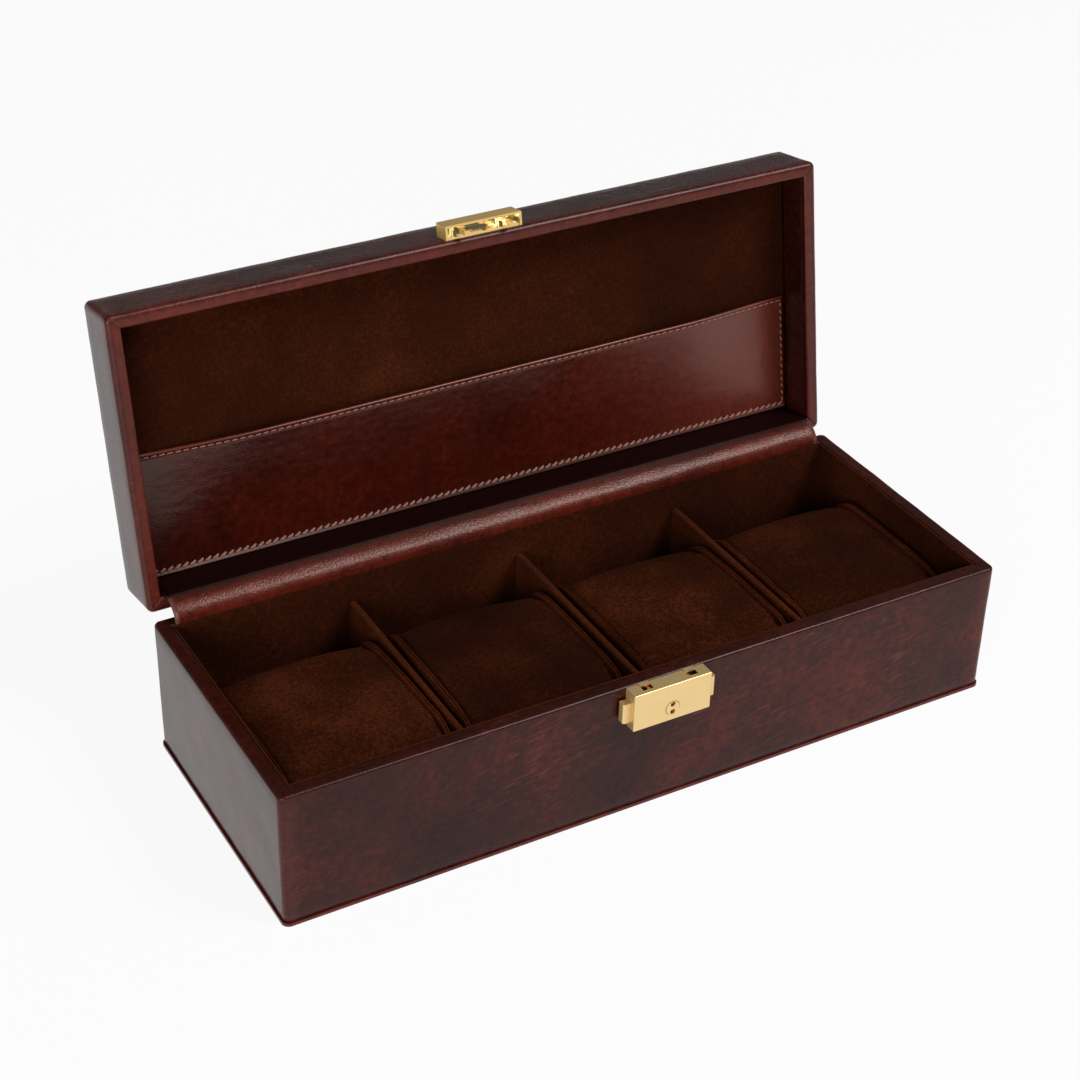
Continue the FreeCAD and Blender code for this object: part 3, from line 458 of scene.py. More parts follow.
def hollow(finish, place, low, high, colour, shine):
    """Another colour and shine for the metal inside a box, fading in from the box's faces."""
    depth = 1.0
    for axis, letter in enumerate("XYZ"):
        along = finish.node("ShaderNodeSeparateXYZ", None, {0: place}, output=letter)
        depth = depth * ((along - low[axis]) * (1.0 / HOLLOW_EDGE)).clamped()
        depth = depth * ((high[axis] - along) * (1.0 / HOLLOW_EDGE)).clamped()
    metal = finish.metal + depth * (1.0 - finish.metal)
    finish.set(**{"Base Color": finish.mix(depth, finish.tone, solid(colour)), "Metallic": metal})
    finish.set(Roughness=finish.rough * (1.0 - depth) + depth * shine)


# %% Lock, strike, hinges and springs
# Painted shade for the inside of the lock, in its slots and key holes
LOCK_PAINTED_SHADE = (0.34, 0.18, 0.05)
LOCK_OPEN_BACK = Vector((0.0, 5.0 * MM, 0.0))
STRIKE_INSIDE = (0.9, 0.8, 0.56)

lock_brass = brass("satin_brass", (0.82, 0.6, 0.28), (0.72, 0.49, 0.2), shine=0.24, metal=0.65)
lock_low, lock_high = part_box("lock_case")
# Painted shade: the metal inside the lock's box turns dark brown
hollow(lock_brass, lock_brass.place, lock_low, lock_high + LOCK_OPEN_BACK, LOCK_PAINTED_SHADE, shine=0.3)
strike_brass = brass("strike_brass", (0.85, 0.56, 0.19), (0.72, 0.45, 0.13), shine=0.3, metal=0.6)
turn = {"Vector": strike_brass.place, "Center": lid_pivot, "Angle": lid_angle}
strike_place = strike_brass.node("ShaderNodeVectorRotate", {"rotation_type": "X_AXIS"}, turn)
hollow(strike_brass, strike_place, *shut_box("strike_shell"), STRIKE_INSIDE, shine=0.08)
hinge_brass = brass("hinge_brass", (0.66, 0.47, 0.2), (0.5, 0.33, 0.13), shine=0.26)
spring_steel = brass("spring_steel", (0.56, 0.56, 0.57), (0.42, 0.42, 0.44), shine=0.25, spread=0.15)
print("metal finishes ready")

# %% Thread, wood and card
THREAD_SCALES = (2400.0, 2400.0, 2400.0)
WOOD_SCALES = (24.0, 400.0, 400.0)
CARD_SCALES = (900.0, 900.0, 900.0)
FIBRE_ROUGHNESS = 0.8
FIBRE_STOPS = (0.3, 0.7)
FIBRE_BUMP = 0.3 * MM


def fibre(name, deep, pale, scales, relief):
    finish = Finish(name, Roughness=FIBRE_ROUGHNESS)
    grain = finish.blotch(1.0, detail=4.0, roughness=0.6, place=finish.stretched(scales))
    finish.set(**{"Base Color": finish.ramp(grain, list(zip(FIBRE_STOPS, (deep, pale))))})
    finish.set(Normal=finish.bump(grain, relief, FIBRE_BUMP))
    return finish


thread = fibre("linen_thread", (0.2, 0.075, 0.045), (0.34, 0.17, 0.115), THREAD_SCALES, relief=0.5)
pale_thread = fibre("pale_thread", (0.165, 0.072, 0.05), (0.3, 0.16, 0.125), THREAD_SCALES, relief=0.5)
board = fibre("raw_wood", (0.27, 0.15, 0.07), (0.42, 0.26, 0.13), WOOD_SCALES, relief=0.3)
card = fibre("grey_card", (0.18, 0.13, 0.09), (0.26, 0.2, 0.14), CARD_SCALES, relief=0.2)
print("thread and hidden finishes ready")

# %% Finish every CAD node by its slot
SLOT_FINISHES = {
    "leather": cover_leather,
    "pocket_leather": pocket_leather,
    "bottom_leather": bottom_leather,
    "suede": lining_suede,
    "foam": card,
    "board": board,
    "card": card,
    "lock_brass": lock_brass,
    "strike_brass": strike_brass,
    "hinge_brass": hinge_brass,
    "spring_steel": spring_steel,
}
for subpart in frame["record"]["subparts"]:
    for material_slot in frame["nodes"][subpart["node"]].material_slots:
        material_slot.material = SLOT_FINISHES[subpart["material_slot"]].material

# %% [markdown]
# ## Making pieces
# A few helpers are shared by all the pieces. One turns points and faces into an object with marks on its
# points, one joins rings of points with faces, one hands an object its finish, its body and the CAD nodes
# that it stands for, and one makes a surface uneven.

# %% Piece helpers
WELD = 0.002 * MM


def new_piece(name, points, faces, marks=None):
    mesh = bpy.data.meshes.new(name)
    mesh.from_pydata(points, [], faces)
    for mark, values in (marks or {}).items():
        mesh.attributes.new(mark, "FLOAT", "POINT").data.foreach_set("value", values)
    shape = bmesh.new()
    shape.from_mesh(mesh)
    bmesh.ops.remove_doubles(shape, verts=shape.verts, dist=WELD)
    bmesh.ops.recalc_face_normals(shape, faces=shape.faces)
    for face in shape.faces:
        face.smooth = True
    shape.to_mesh(mesh)
    shape.free()
    return placed(name, mesh)


def ring_faces(rings, count, start=0, closed=False):
    """Faces between rings of points that follow one another, and from the last to the first if closed."""
    faces = []
    for row in range(rings if closed else rings - 1):
        first = start + row * count
        second = start + (row + 1) % rings * count
        for place in range(count):
            after = (place + 1) % count
            faces.append((first + place, first + after, second + after, second + place))
    return faces


def tube_faces(rings, count, start=0):
    """Faces between rings of points, and one over each end."""
    last = start + (rings - 1) * count
    ends = [tuple(range(ring_start, ring_start + count)) for ring_start in (start, last)]
    return ring_faces(rings, count, start) + ends


def dress(piece, finish, slot, body, *nodes):
    piece.data.materials.clear()
    piece.data.materials.append(finish.material)
    if body:
        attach(piece, body)
    if nodes:
        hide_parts(*nodes)
    print(piece.name, len(piece.data.vertices), "points")


def ripple(piece, size, height, seed):
    """Uneven surface: moves each point a little along its normal."""
    offset = Vector((seed, 0.0, 0.0))
    for vertex in piece.data.vertices:
        vertex.co += vertex.normal * noise.noise(vertex.co / size + offset) * height


def arc_turns(start, end, steps):
    """Angles along an arc, from degrees to radians."""
    return [math.radians(start + (end - start) * step / steps) for step in range(steps + 1)]


def modified_mesh(piece):
    """New mesh of a piece with its modifiers applied."""
    graph = bpy.context.evaluated_depsgraph_get()
    return bpy.data.meshes.new_from_object(piece.evaluated_get(graph))


# %% [markdown]
# ## The leather covers
# Each cover is one skin drawn round the walls and over the rim, with its corners mitred. Its section could be
# modelled face by face, but a section swept round a rounded rectangle gives the whole cover at once: a point
# of the section is a depth in from the outside and a height, and each makes one ring.

# %% A ring round the box
SIDE_STEP = 4.0 * MM
COVER_CORNER = 2.6 * MM
MITRE_STEPS = (0.3 * MM, 0.9 * MM, 2.2 * MM)
MITRE_TURN = 45
RUBBED_WIDTH = 5.0 * MM
CORNER_TURNS = (0, 15, 30, MITRE_TURN, 60, 75, 90)
CORNER_SIGNS = ((-1, -1), (1, -1), (1, 1), (-1, 1))


def side_shares(length):
    """Shares of a side at which it has points: close together near the mitres, then evenly spread."""
    steps = max(2, round(length / SIDE_STEP))
    near = [step / length for step in MITRE_STEPS]
    return near + [count / steps for count in range(1, steps)] + [1.0 - share for share in reversed(near)]


def ring(half, depth, height):
    """Points round the box at a depth in from its outside, which of them lie on the mitres, and how near
    each is to a corner."""
    reach = max(COVER_CORNER, depth)
    radius = max(COVER_CORNER - depth, 0.0)
    bends = []
    for count, (sign_x, sign_y) in enumerate(CORNER_SIGNS):
        middle = Vector((sign_x * (half.x - reach), sign_y * (half.y - reach), height))
        turns = [math.radians(180 + 90 * count + turn) for turn in CORNER_TURNS]
        bends.append([middle + radius * Vector((math.cos(turn), math.sin(turn), 0.0)) for turn in turns])
    points = []
    mitres = []
    nearness = []
    for count, bend in enumerate(bends):
        points += bend
        mitres += [1.0 if turn == MITRE_TURN or radius == 0.0 else 0.0 for turn in CORNER_TURNS]
        nearness += [1.0] * len(bend)
        start = bend[-1]
        end = bends[(count + 1) % len(bends)][0]
        length = 2 * (half.x if count % 2 == 0 else half.y)
        shares = side_shares(length)
        points += [start.lerp(end, share) for share in shares]
        mitres += [0.0] * len(shares)
        nearness += [max(0.0, 1.0 - min(share, 1.0 - share) * length / RUBBED_WIDTH) for share in shares]
    return points, mitres, nearness


# %% Sweep a section round the box
MITRE_DEPTH = 0.22 * MM
CORNER_RUB = 0.4
BEND_STEPS = 6


def swept(name, section, half, rim_normal, closed, rim_painted_shade=0.0, rim_rub=0.0):
    """section: (depth, height, on the rim) for each ring; the mitres are pressed in and darker on the rim,
    and a share can darken the whole rim as painted shade.
    """
    points = []
    mitre = []
    edge = []
    count = 0
    for depth, height, on_rim in section:
        ring_points, ring_mitres, nearness = ring(half, depth, height)
        count = len(ring_points)
        for point, flag in zip(ring_points, ring_mitres):
            points.append(point - rim_normal * MITRE_DEPTH * flag * on_rim)
            mitre.append(max(flag, rim_painted_shade) * on_rim)
        corner_rub = CORNER_RUB * max(0.0, 1.0 - depth / RUBBED_WIDTH)
        edge += [near * corner_rub * (1.0 - on_rim) + rim_rub * on_rim for near in nearness]
    faces = ring_faces(len(section), count, closed=closed)
    return new_piece(name, points, faces, {"mitre": mitre, "edge": edge})


def bend_section(depth, height, radius, start, end, on_rim, steps=BEND_STEPS):
    """Rounded edge of a section."""
    turns = arc_turns(start, end, steps)
    return [(depth + radius * math.cos(turn), height + radius * math.sin(turn), on_rim) for turn in turns]


def straight_section(start, end, on_rim, step=SIDE_STEP):
    """Flat run of a section, without its first and last points."""
    count = max(1, round(math.dist(start, end) / step))
    shares = [number / count for number in range(1, count)]
    return [(start[0] + (end[0] - start[0]) * s, start[1] + (end[1] - start[1]) * s, on_rim) for s in shares]


print("sweep ready")

# %% [markdown]
# ## Windows for the hinges
# The hinge leaves and the hinge strip lie in shallow windows cut in the covers, so that they sit flush. A
# Boolean with plain boxes cuts them, and the box of each CAD node says where.

# %% Cut windows
SIDES = ("left", "right")
GAP = 0.05 * MM
LEAF_BACK_ROOM = 0.3 * MM
LEAF_RIM_ROOM = 1.0 * MM


def box_shape(low, high):
    shape = bmesh.new()
    bmesh.ops.create_cube(shape, size=1.0)
    for vertex in shape.verts:
        vertex.co = Vector([low[axis] if vertex.co[axis] < 0 else high[axis] for axis in range(3)])
    return shape


def cut_windows(piece, boxes):
    for low, high in boxes:
        shape = box_shape(low, high)
        cutter_mesh = bpy.data.meshes.new("window_cutter")
        shape.to_mesh(cutter_mesh)
        shape.free()
        cutter = placed("window_cutter", cutter_mesh)
        modifier = piece.modifiers.new("window", "BOOLEAN")
        modifier.object = cutter
        modifier.operation = "DIFFERENCE"
        modifier.solver = "EXACT"
        cut_mesh = modified_mesh(piece)
        piece.modifiers.clear()
        piece.data = cut_mesh
        bpy.data.objects.remove(cutter)
        bpy.data.meshes.remove(cutter_mesh)


def leaf_windows(leaves, room_below, room_above):
    """Boxes a little larger than the hinge leaves, and open at the back and at the rim."""
    low_room = Vector((GAP, GAP, room_below))
    high_room = Vector((GAP, LEAF_BACK_ROOM, room_above))
    return [(low - low_room, high + high_room) for low, high in leaves]


# %% Base cover
UP = Vector((0.0, 0.0, 1.0))
SKIN = 1.2 * MM
FOOT_EDGE = 0.5 * MM
FOOT_EDGE_STEPS = 3
BASE_EDGE = 1.25 * MM
INNER_EDGE = 0.8 * MM
EDGE_ON_RIM = 0.6
RIM_STEP = 1.0 * MM
RIM_LIP = 6.0 * MM
# Painted shade: a share that darkens the whole rim of the base
BASE_RIM_PAINTED_SHADE = 0.4
BASE_RIM_RUB = 0.2
# Size and height of the unevenness of the covers
COVER_WAVES = ((14.0 * MM, 0.12 * MM), (4.5 * MM, 0.05 * MM))
BASE_SEEDS = (3.0, 8.0)

base_low, base_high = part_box("base_leather")
base_half = (base_high - base_low) / 2
rim_width = base_high.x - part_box("right_lining")[1].x - GAP
foot = base_low.z
top = base_high.z
base_section = [(SKIN, foot, 0)]
base_section += bend_section(FOOT_EDGE, foot + FOOT_EDGE, FOOT_EDGE, 270, 180, 0, steps=FOOT_EDGE_STEPS)
base_section += straight_section((0.0, foot + FOOT_EDGE), (0.0, top - BASE_EDGE), 0)
base_section += bend_section(BASE_EDGE, top - BASE_EDGE, BASE_EDGE, 180, 90, EDGE_ON_RIM)
base_section += straight_section((BASE_EDGE, top), (rim_width - INNER_EDGE, top), 1, step=RIM_STEP)
base_section += bend_section(rim_width - INNER_EDGE, top - INNER_EDGE, INNER_EDGE, 90, 0, 1)
base_section += [(rim_width, top - RIM_LIP, 0), (SKIN, top - RIM_LIP, 0)]
rim_marks = {"rim_painted_shade": BASE_RIM_PAINTED_SHADE, "rim_rub": BASE_RIM_RUB}
base_cover = swept("base_cover", base_section, base_half, UP, closed=True, **rim_marks)
for wave, seed in zip(COVER_WAVES, BASE_SEEDS):
    ripple(base_cover, *wave, seed)

# %% Windows in the base cover
STRIP_ROOM = 0.1 * MM
STRIP_TAIL = 1.05 * MM

leaves = [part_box(f"{side}_hinge_base_leaf") for side in SIDES]
windows = leaf_windows(leaves, GAP, LEAF_RIM_ROOM)
strip_low, strip_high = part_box("hinge_strip")
tail_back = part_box("back_lining")[1].y + STRIP_TAIL
window_low = Vector((strip_low.x - STRIP_ROOM, 0.0, strip_low.z))
window_high = Vector((strip_high.x + STRIP_ROOM, tail_back, top + RIM_LIP))
windows.append((window_low, window_high))
cut_windows(base_cover, windows)
dress(base_cover, cover_leather, "leather", "base", "base_leather")

# %% [markdown]
# ## The lid cover
# The lid is covered in the same way, but its skin also closes over the top. The rings carry on inwards across
# the top until they meet on the middle line.

# %% Lid cover
LID_EDGE = 1.9 * MM
WALL_SKIN = 0.8 * MM
RIM_TURN = 2.2 * MM
TOP_STEPS = (6.0 * MM, 11.0 * MM, 18.0 * MM, 26.0 * MM, 35.0 * MM, 46.0 * MM)
LID_RIM_RUB = 0.8
LID_SEEDS = (21.0, 27.0)

lid_low, lid_high = shut_box("lid_leather")
lid_half = (lid_high - lid_low) / 2
wall_top = shut_box("lid_inner_leather")[1]
lid_rim_width = lid_high.x - wall_top.x + WALL_SKIN
rim = lid_low.z
lid_top = lid_high.z
lid_section = [(lid_half.y, lid_top - SKIN, 0), (SKIN, lid_top - SKIN, 0), (SKIN, rim + RIM_TURN, 0)]
lid_section += [(lid_rim_width, rim + RIM_TURN, 0)]
lid_section += bend_section(lid_rim_width - INNER_EDGE, rim + INNER_EDGE, INNER_EDGE, 0, -90, 1)
lid_section += straight_section((lid_rim_width - INNER_EDGE, rim), (LID_EDGE, rim), 1, step=RIM_STEP)
lid_section += bend_section(LID_EDGE, rim + LID_EDGE, LID_EDGE, 270, 180, EDGE_ON_RIM)
lid_section += straight_section((0.0, rim + LID_EDGE), (0.0, lid_top - LID_EDGE), 0)
lid_section += bend_section(LID_EDGE, lid_top - LID_EDGE, LID_EDGE, 180, 90, 0)
lid_section += [(depth, lid_top, 0) for depth in (*TOP_STEPS, lid_half.y)]
lid_cover = swept("lid_cover", lid_section, lid_half, -UP, closed=False, rim_rub=LID_RIM_RUB)
for wave, seed in zip(COVER_WAVES, LID_SEEDS):
    ripple(lid_cover, *wave, seed)
leaves = [shut_box(f"{side}_hinge_lid_leaf") for side in SIDES]
cut_windows(lid_cover, leaf_windows(leaves, LEAF_RIM_ROOM, GAP))
lid_cover.data.transform(OPENED)
dress(lid_cover, cover_leather, "leather", "lid", "lid_leather")

# %% Leather on the lid's inner walls
WALL_FOOT = 1.2 * MM
WALL_BEND = 2.4 * MM
WALL_TUCK = 0.1 * MM
WALL_STEP = 2.0 * MM
WALL_WAVE = (14.0 * MM, 0.05 * MM)
WALL_SEED = 40.0

wall_out = lid_rim_width - WALL_SKIN + GAP
wall_in = lid_rim_width
wall_section = [(wall_in, wall_top.z, 0)]
wall_section += straight_section((wall_in, wall_top.z), (wall_in, rim + WALL_BEND), 0, step=WALL_STEP)
wall_section += [(wall_in - WALL_TUCK, rim + WALL_FOOT, 0), (wall_out, rim + WALL_FOOT, 0)]
wall_section += [(wall_out, wall_top.z, 0)]
lid_walls = swept("lid_inner_walls", wall_section, lid_half, -UP, closed=True)
ripple(lid_walls, *WALL_WAVE, WALL_SEED)
lid_walls.data.transform(OPENED)
dress(lid_walls, wall_leather, "leather", "lid", "lid_inner_leather")

# %% [markdown]
# ## Suede linings and dividers
# The linings are suede glued to thin card, so each is a slab with soft edges, and its top is a raw cut edge
# that shows as a tan line along the rim. A slab is a box whose edges are bevelled, and a mark on its top
# points tells the suede finish where the cut is.

# %% Soft slabs
SLAB_SEGMENTS = 4
LINING_EDGE = 0.3 * MM
LINING_CUT = 0.25 * MM
LINING_RAW = {"front": 0.5, "back": 0.0, "left": 0.5, "right": 0.5}
DIVIDER_EDGE = 1.2 * MM
DIVIDER_CUT = 0.4 * MM
DIVIDER_RAW = 0.3


def soft_slab(name, low, high, radius, cut=0.0, raw_share=0.0):
    """cut: how far down from its top the raw edge shows."""
    shape = box_shape(low, high)
    edges = shape.edges[:]
    bmesh.ops.bevel(shape, geom=edges, offset=radius, segments=SLAB_SEGMENTS, profile=0.5, affect="EDGES")
    points = [vertex.co.copy() for vertex in shape.verts]
    shape.verts.index_update()
    faces = [[vertex.index for vertex in face.verts] for face in shape.faces]
    shape.free()
    raw = [raw_share if point.z > high.z - cut else 0.0 for point in points]
    return new_piece(name, points, faces, {"raw": raw})


def line_base(node, finish, *form):
    slab = soft_slab(f"{node}_suede", *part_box(node), *form)
    dress(slab, finish, "suede", "base", node)


for side, raw_share in LINING_RAW.items():
    line_base(f"{side}_lining", lining_suede, LINING_EDGE, LINING_CUT, raw_share)
line_base("floor_lining", lining_suede, LINING_EDGE)
# The dividers get the brighter suede as painted light
for side in ("left", "middle", "right"):
    line_base(f"{side}_divider", painted_light_suede, DIVIDER_EDGE, DIVIDER_CUT, DIVIDER_RAW)

# %% Suede panel in the lid
panel = soft_slab("lid_panel_suede", *shut_box("lid_suede_panel"), LINING_EDGE)
panel.data.transform(OPENED)
dress(panel, lining_suede, "suede", "lid", "lid_suede_panel")

# %% [markdown]
# ## Watch cushions
# A watch cushion is a block of foam in a suede band, closed by two end panels whose edges stand up as a
# double lip. The band is lofted from rings that pull in towards the seams, then a short cloth simulation with
# pressure swells it as the foam does. The lips are made afterwards, because the remesh would wipe them out.
# One band is made and copied, and each cushion leans a little in its own way.

# %% Outline of a cushion
TOP_RADIUS = 16.0 * MM
FOOT_RADIUS = 11.0 * MM
ARCH = 1.2 * MM
ARC_STEPS = 9
RUN_STEPS = 14


def cushion_outline(low, high, inset, drop, pull):
    """Points round a cushion seen from its end: y and z, from the front foot up and over."""
    front = low.y + inset + pull
    back = high.y - inset - pull
    floor_z = low.z + inset
    roof = high.z - inset - drop - ARCH
    top_radius = TOP_RADIUS - inset
    foot_radius = FOOT_RADIUS - inset
    corners = [
        (front + top_radius, roof - top_radius, top_radius, 180, 90),
        (back - top_radius, roof - top_radius, top_radius, 90, 0),
        (back - foot_radius, floor_z + foot_radius, foot_radius, 0, -90),
        (front + foot_radius, floor_z + foot_radius, foot_radius, 270, 180),
    ]
    bends = []
    for y, z, radius, start, end in corners:
        turns = arc_turns(start, end, ARC_STEPS)
        bends.append([(y + radius * math.cos(turn), z + radius * math.sin(turn)) for turn in turns])
    points = []
    for count, bend in enumerate(bends):
        points += bend
        start = bend[-1]
        end = bends[(count + 1) % len(bends)][0]
        for step in range(1, RUN_STEPS):
            share = step / RUN_STEPS
            points.append((start[0] + (end[0] - start[0]) * share, start[1] + (end[1] - start[1]) * share))
    middle = (front + back) / 2
    half_length = (back - front) / 2
    arched = []
    for y, z in points:
        rise = ARCH * (1.0 - ((y - middle) / half_length) ** 2)
        arched.append((y, z + rise * max(0.0, (z - floor_z) / (roof - floor_z)) ** 2))
    return arched


# %% Loft rings into a closed body
def lofted(name, rings):
    points = [point for ring_points in rings for point in ring_points]
    return new_piece(name, points, tube_faces(len(rings), len(rings[0])))


# %% Swell the band by simulation
VOXEL = 4.0 * MM
PRESSURE = 4.0
FRAMES = 20
MOST_SWELL = 0.9 * MM
SEAM_HOLD = 5.0 * MM


def swelled(piece, middle_x, half_width):
    """Remeshes a lofted body, swells it under pressure between its seams, and keeps the result."""
    remesh = piece.modifiers.new("Remesh", "REMESH")
    remesh.mode = "VOXEL"
    remesh.voxel_size = VOXEL
    piece.data = modified_mesh(piece)
    piece.modifiers.clear()
    held = piece.vertex_groups.new(name="seams")
    for vertex in piece.data.vertices:
        if abs(vertex.co.x - middle_x) > half_width - SEAM_HOLD:
            held.add([vertex.index], 1.0, "REPLACE")
    before = [vertex.co.copy() for vertex in piece.data.vertices]
    cloth = piece.modifiers.new("Cloth", "CLOTH")
    cloth.settings.use_pressure = True
    cloth.settings.uniform_pressure_force = PRESSURE
    cloth.settings.effector_weights.gravity = 0.0
    cloth.settings.vertex_group_mass = "seams"
    cloth.point_cache.frame_end = FRAMES
    for number in range(1, FRAMES + 1):
        bpy.context.scene.frame_set(number)
    graph = bpy.context.evaluated_depsgraph_get()
    after = [vertex.co.copy() for vertex in piece.evaluated_get(graph).data.vertices]
    piece.modifiers.clear()
    bpy.context.scene.frame_set(1)
    most = 0.0
    for vertex, start, end in zip(piece.data.vertices, before, after):
        move = end - start
        most = max(most, move.length)
        if move.length > MOST_SWELL:
            move *= MOST_SWELL / move.length
        vertex.co = start + move
    print("swelled by up to", round(most / MM, 2), "mm, kept to", MOST_SWELL / MM)


# %% Double lip of an end panel
# Out of the cushion and in from its outline, in millimetres: two rounded lips with a groove, then the panel
LIP_SECTION = (
    (-2.4, 0.9), (-2.3, 0.2), (-2.0, -0.55), (-1.55, -0.8), (-1.2, -0.45), (-1.1, 0.1), (-1.0, 0.1),
    (-0.9, -0.45), (-0.55, -0.85), (-0.15, -0.5), (0.0, 0.3), (0.0, 1.2), (-0.1, 5.0), (-0.3, 10.0),
)
SEAM_DROP = 1.8 * MM
SEAM_PULL = 1.2 * MM


def end_panel(name, low, high, face_x, outward):
    rings = []
    for out, inset in LIP_SECTION:
        outline = cushion_outline(low, high, inset * MM, SEAM_DROP, SEAM_PULL)
        rings.append([Vector((face_x + outward * out * MM, y, z)) for y, z in outline])
    return lofted(name, rings)


# %% Band of a cushion
CUSHIONS = ("left_cushion", "middle_left_cushion", "middle_right_cushion", "right_cushion")
BODY_INSET = 0.5 * MM
BODY_END = 1.2 * MM
BODY_RINGS = 25
SEAM_SHARPNESS = 2.4


def cushion_body(name, low, high):
    """Band of a cushion, lofted from one seam to the other."""
    middle_x = (low.x + high.x) / 2
    half_width = (high.x - low.x) / 2 - BODY_END
    rings = []
    for count in range(BODY_RINGS):
        across = 2.0 * count / (BODY_RINGS - 1) - 1.0
        sewn = abs(across) ** SEAM_SHARPNESS
        outline = cushion_outline(low, high, BODY_INSET, SEAM_DROP * sewn, SEAM_PULL * sewn)
        rings.append([Vector((middle_x + across * half_width, y, z)) for y, z in outline])
    body = lofted(name, rings)
    swelled(body, middle_x, half_width)
    return body


first_low, first_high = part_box(f"{CUSHIONS[0]}_band")
first_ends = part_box(f"{CUSHIONS[0]}_end_panels")
first_low.x = first_ends[0].x
first_high.x = first_ends[1].x
pattern_body = cushion_body("cushion_pattern", first_low, first_high)
subdivision = pattern_body.modifiers.new("Smooth", "SUBSURF")
subdivision.levels = 1
pattern_mesh = modified_mesh(pattern_body)
bpy.data.objects.remove(pattern_body)
print("cushion pattern", len(pattern_mesh.vertices), "points")

# %% Cushions in their compartments
# Degrees of lean to the back and of turn to the left
CUSHION_LEANS = ((1.6, 1.0), (1.4, -0.6), (0.3, 0.3), (0.0, -0.4))
# Size, height and seed of the unevenness
BODY_WAVES = ((17.0 * MM, 0.45 * MM, 0.0), (6.0 * MM, 0.12 * MM, 2.0))
LIP_WAVE = (9.0 * MM, 0.25 * MM, 3.0)
SEED_STEP = 5.0

first_middle = (first_low + first_high) / 2
for number, (cushion, (lean, turn)) in enumerate(zip(CUSHIONS, CUSHION_LEANS)):
    low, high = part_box(f"{cushion}_end_panels")
    middle = (low + high) / 2
    foot_point = Vector((middle.x, high.y, low.z))
    settle = Matrix.Rotation(math.radians(turn), 4, "Z") @ Matrix.Rotation(math.radians(-lean), 4, "X")
    settle = Matrix.Translation(foot_point) @ settle @ Matrix.Translation(-foot_point)
    body = placed(f"{cushion}_cover", pattern_mesh.copy())
    body.data.transform(Matrix.Translation(Vector((middle.x - first_middle.x, 0.0, 0.0))))
    for size, height, seed in BODY_WAVES:
        ripple(body, size, height, SEED_STEP * number + seed)
    for polygon in body.data.polygons:
        polygon.use_smooth = True
    body.data.transform(settle)
    nap = brushed_suede if number % 2 else cushion_suede
    dress(body, nap, "suede", cushion, f"{cushion}_band", f"{cushion}_foam")
    band_low = Vector((low.x, first_low.y, first_low.z))
    band_high = Vector((high.x, first_high.y, first_high.z))
    for side, face_x, outward in (("left", low.x, -1), ("right", high.x, 1)):
        end = end_panel(f"{cushion}_{side}_lip", band_low, band_high, face_x, outward)
        size, height, seed = LIP_WAVE
        ripple(end, size, height, SEED_STEP * number + seed)
        end.data.transform(settle)
        # The lips get the brighter suede as painted light
        dress(end, painted_light_suede, "suede", cushion, f"{cushion}_end_panels")

# %% [markdown]
# ## The sewn pocket
# Half of the lid is covered by a leather pocket, sewn down along its sides and foot, with its mouth folded
# over and stitched. A grid with a height at every point gives the slack leather: it gapes at the mouth,
# swells between the seams, and is pressed in along the stitch lines. The stitches are small threads of their
# own.

# %% Height of the pocket
POCKET_SKIN = 1.15 * MM
POCKET_GAPE = 4.2 * MM
GAPE_RUN = 52.0 * MM
GAPE_POWER = 1.3
POCKET_SWELL = 0.4 * MM
SWELL_RUN = (2.5 * MM, 16.0 * MM)
FOLD_HEIGHT = 0.3 * MM
FOLD_WIDTH = 1.9 * MM
FOLD_STEP = 0.8 * MM
STITCH_IN = 1.8 * MM
GROOVE_WIDTH = 0.8 * MM
GROOVE_DEPTH = 0.2 * MM
ROUNDED_EDGE = 0.5 * MM
# Height of the slack and the creases, and their sizes along and across the pocket
SLACK = (0.2 * MM, 30.0 * MM, 17.0 * MM)
CREASES = (0.03 * MM, 5.0 * MM, 2.4 * MM)
SLACK_SEED = 4.0
CREASE_SEED = 9.0
SLACK_RUN = (2.5 * MM, 9.0 * MM)

pocket_low, pocket_high = shut_box("lid_pocket")
panel_face = shut_box("lid_suede_panel")[0].z - GAP


def ease(value, start, end):
    """Smooth rise from 0 at the start to 1 at the end."""
    share = min(max((value - start) / (end - start), 0.0), 1.0)
    return share * share * (3.0 - 2.0 * share)


def crumple(x, y, form, seed):
    height, along, across = form
    return height * noise.noise(Vector((x / along, y / across, seed)))


def pocket_gape(x, y):
    """How far the slack leather hangs away from the suede panel, most at the middle of its mouth."""
    from_side = min(x - pocket_low.x, pocket_high.x - x)
    up = (pocket_high.y - y) / (pocket_high.y - pocket_low.y)
    return POCKET_GAPE * ease(from_side, 0.0, GAPE_RUN) * up ** GAPE_POWER


def pocket_height(x, y):
    """How far the pocket's face stands off the suede panel."""
    from_mouth = y - pocket_low.y
    from_side = min(x - pocket_low.x, pocket_high.x - x)
    from_foot = pocket_high.y - y
    from_seam = min(from_side, from_foot)
    height = POCKET_SKIN + pocket_gape(x, y)
    height += POCKET_SWELL * ease(from_seam, *SWELL_RUN)
    height += FOLD_HEIGHT * (1.0 - ease(from_mouth, FOLD_WIDTH - FOLD_STEP, FOLD_WIDTH))
    for distance in (from_mouth, from_side):
        height -= GROOVE_DEPTH * (1.0 - ease(abs(distance - STITCH_IN), 0.0, GROOVE_WIDTH))
    height -= ROUNDED_EDGE * (1.0 - ease(min(from_mouth, from_seam), 0.0, ROUNDED_EDGE))
    uneven = crumple(x, y, SLACK, SLACK_SEED) + crumple(x, y, CREASES, CREASE_SEED)
    return height + uneven * ease(from_seam, *SLACK_RUN)


# %% Pocket sheet
POCKET_STEP_X = 1.25 * MM
POCKET_STEP_Y = 0.45 * MM
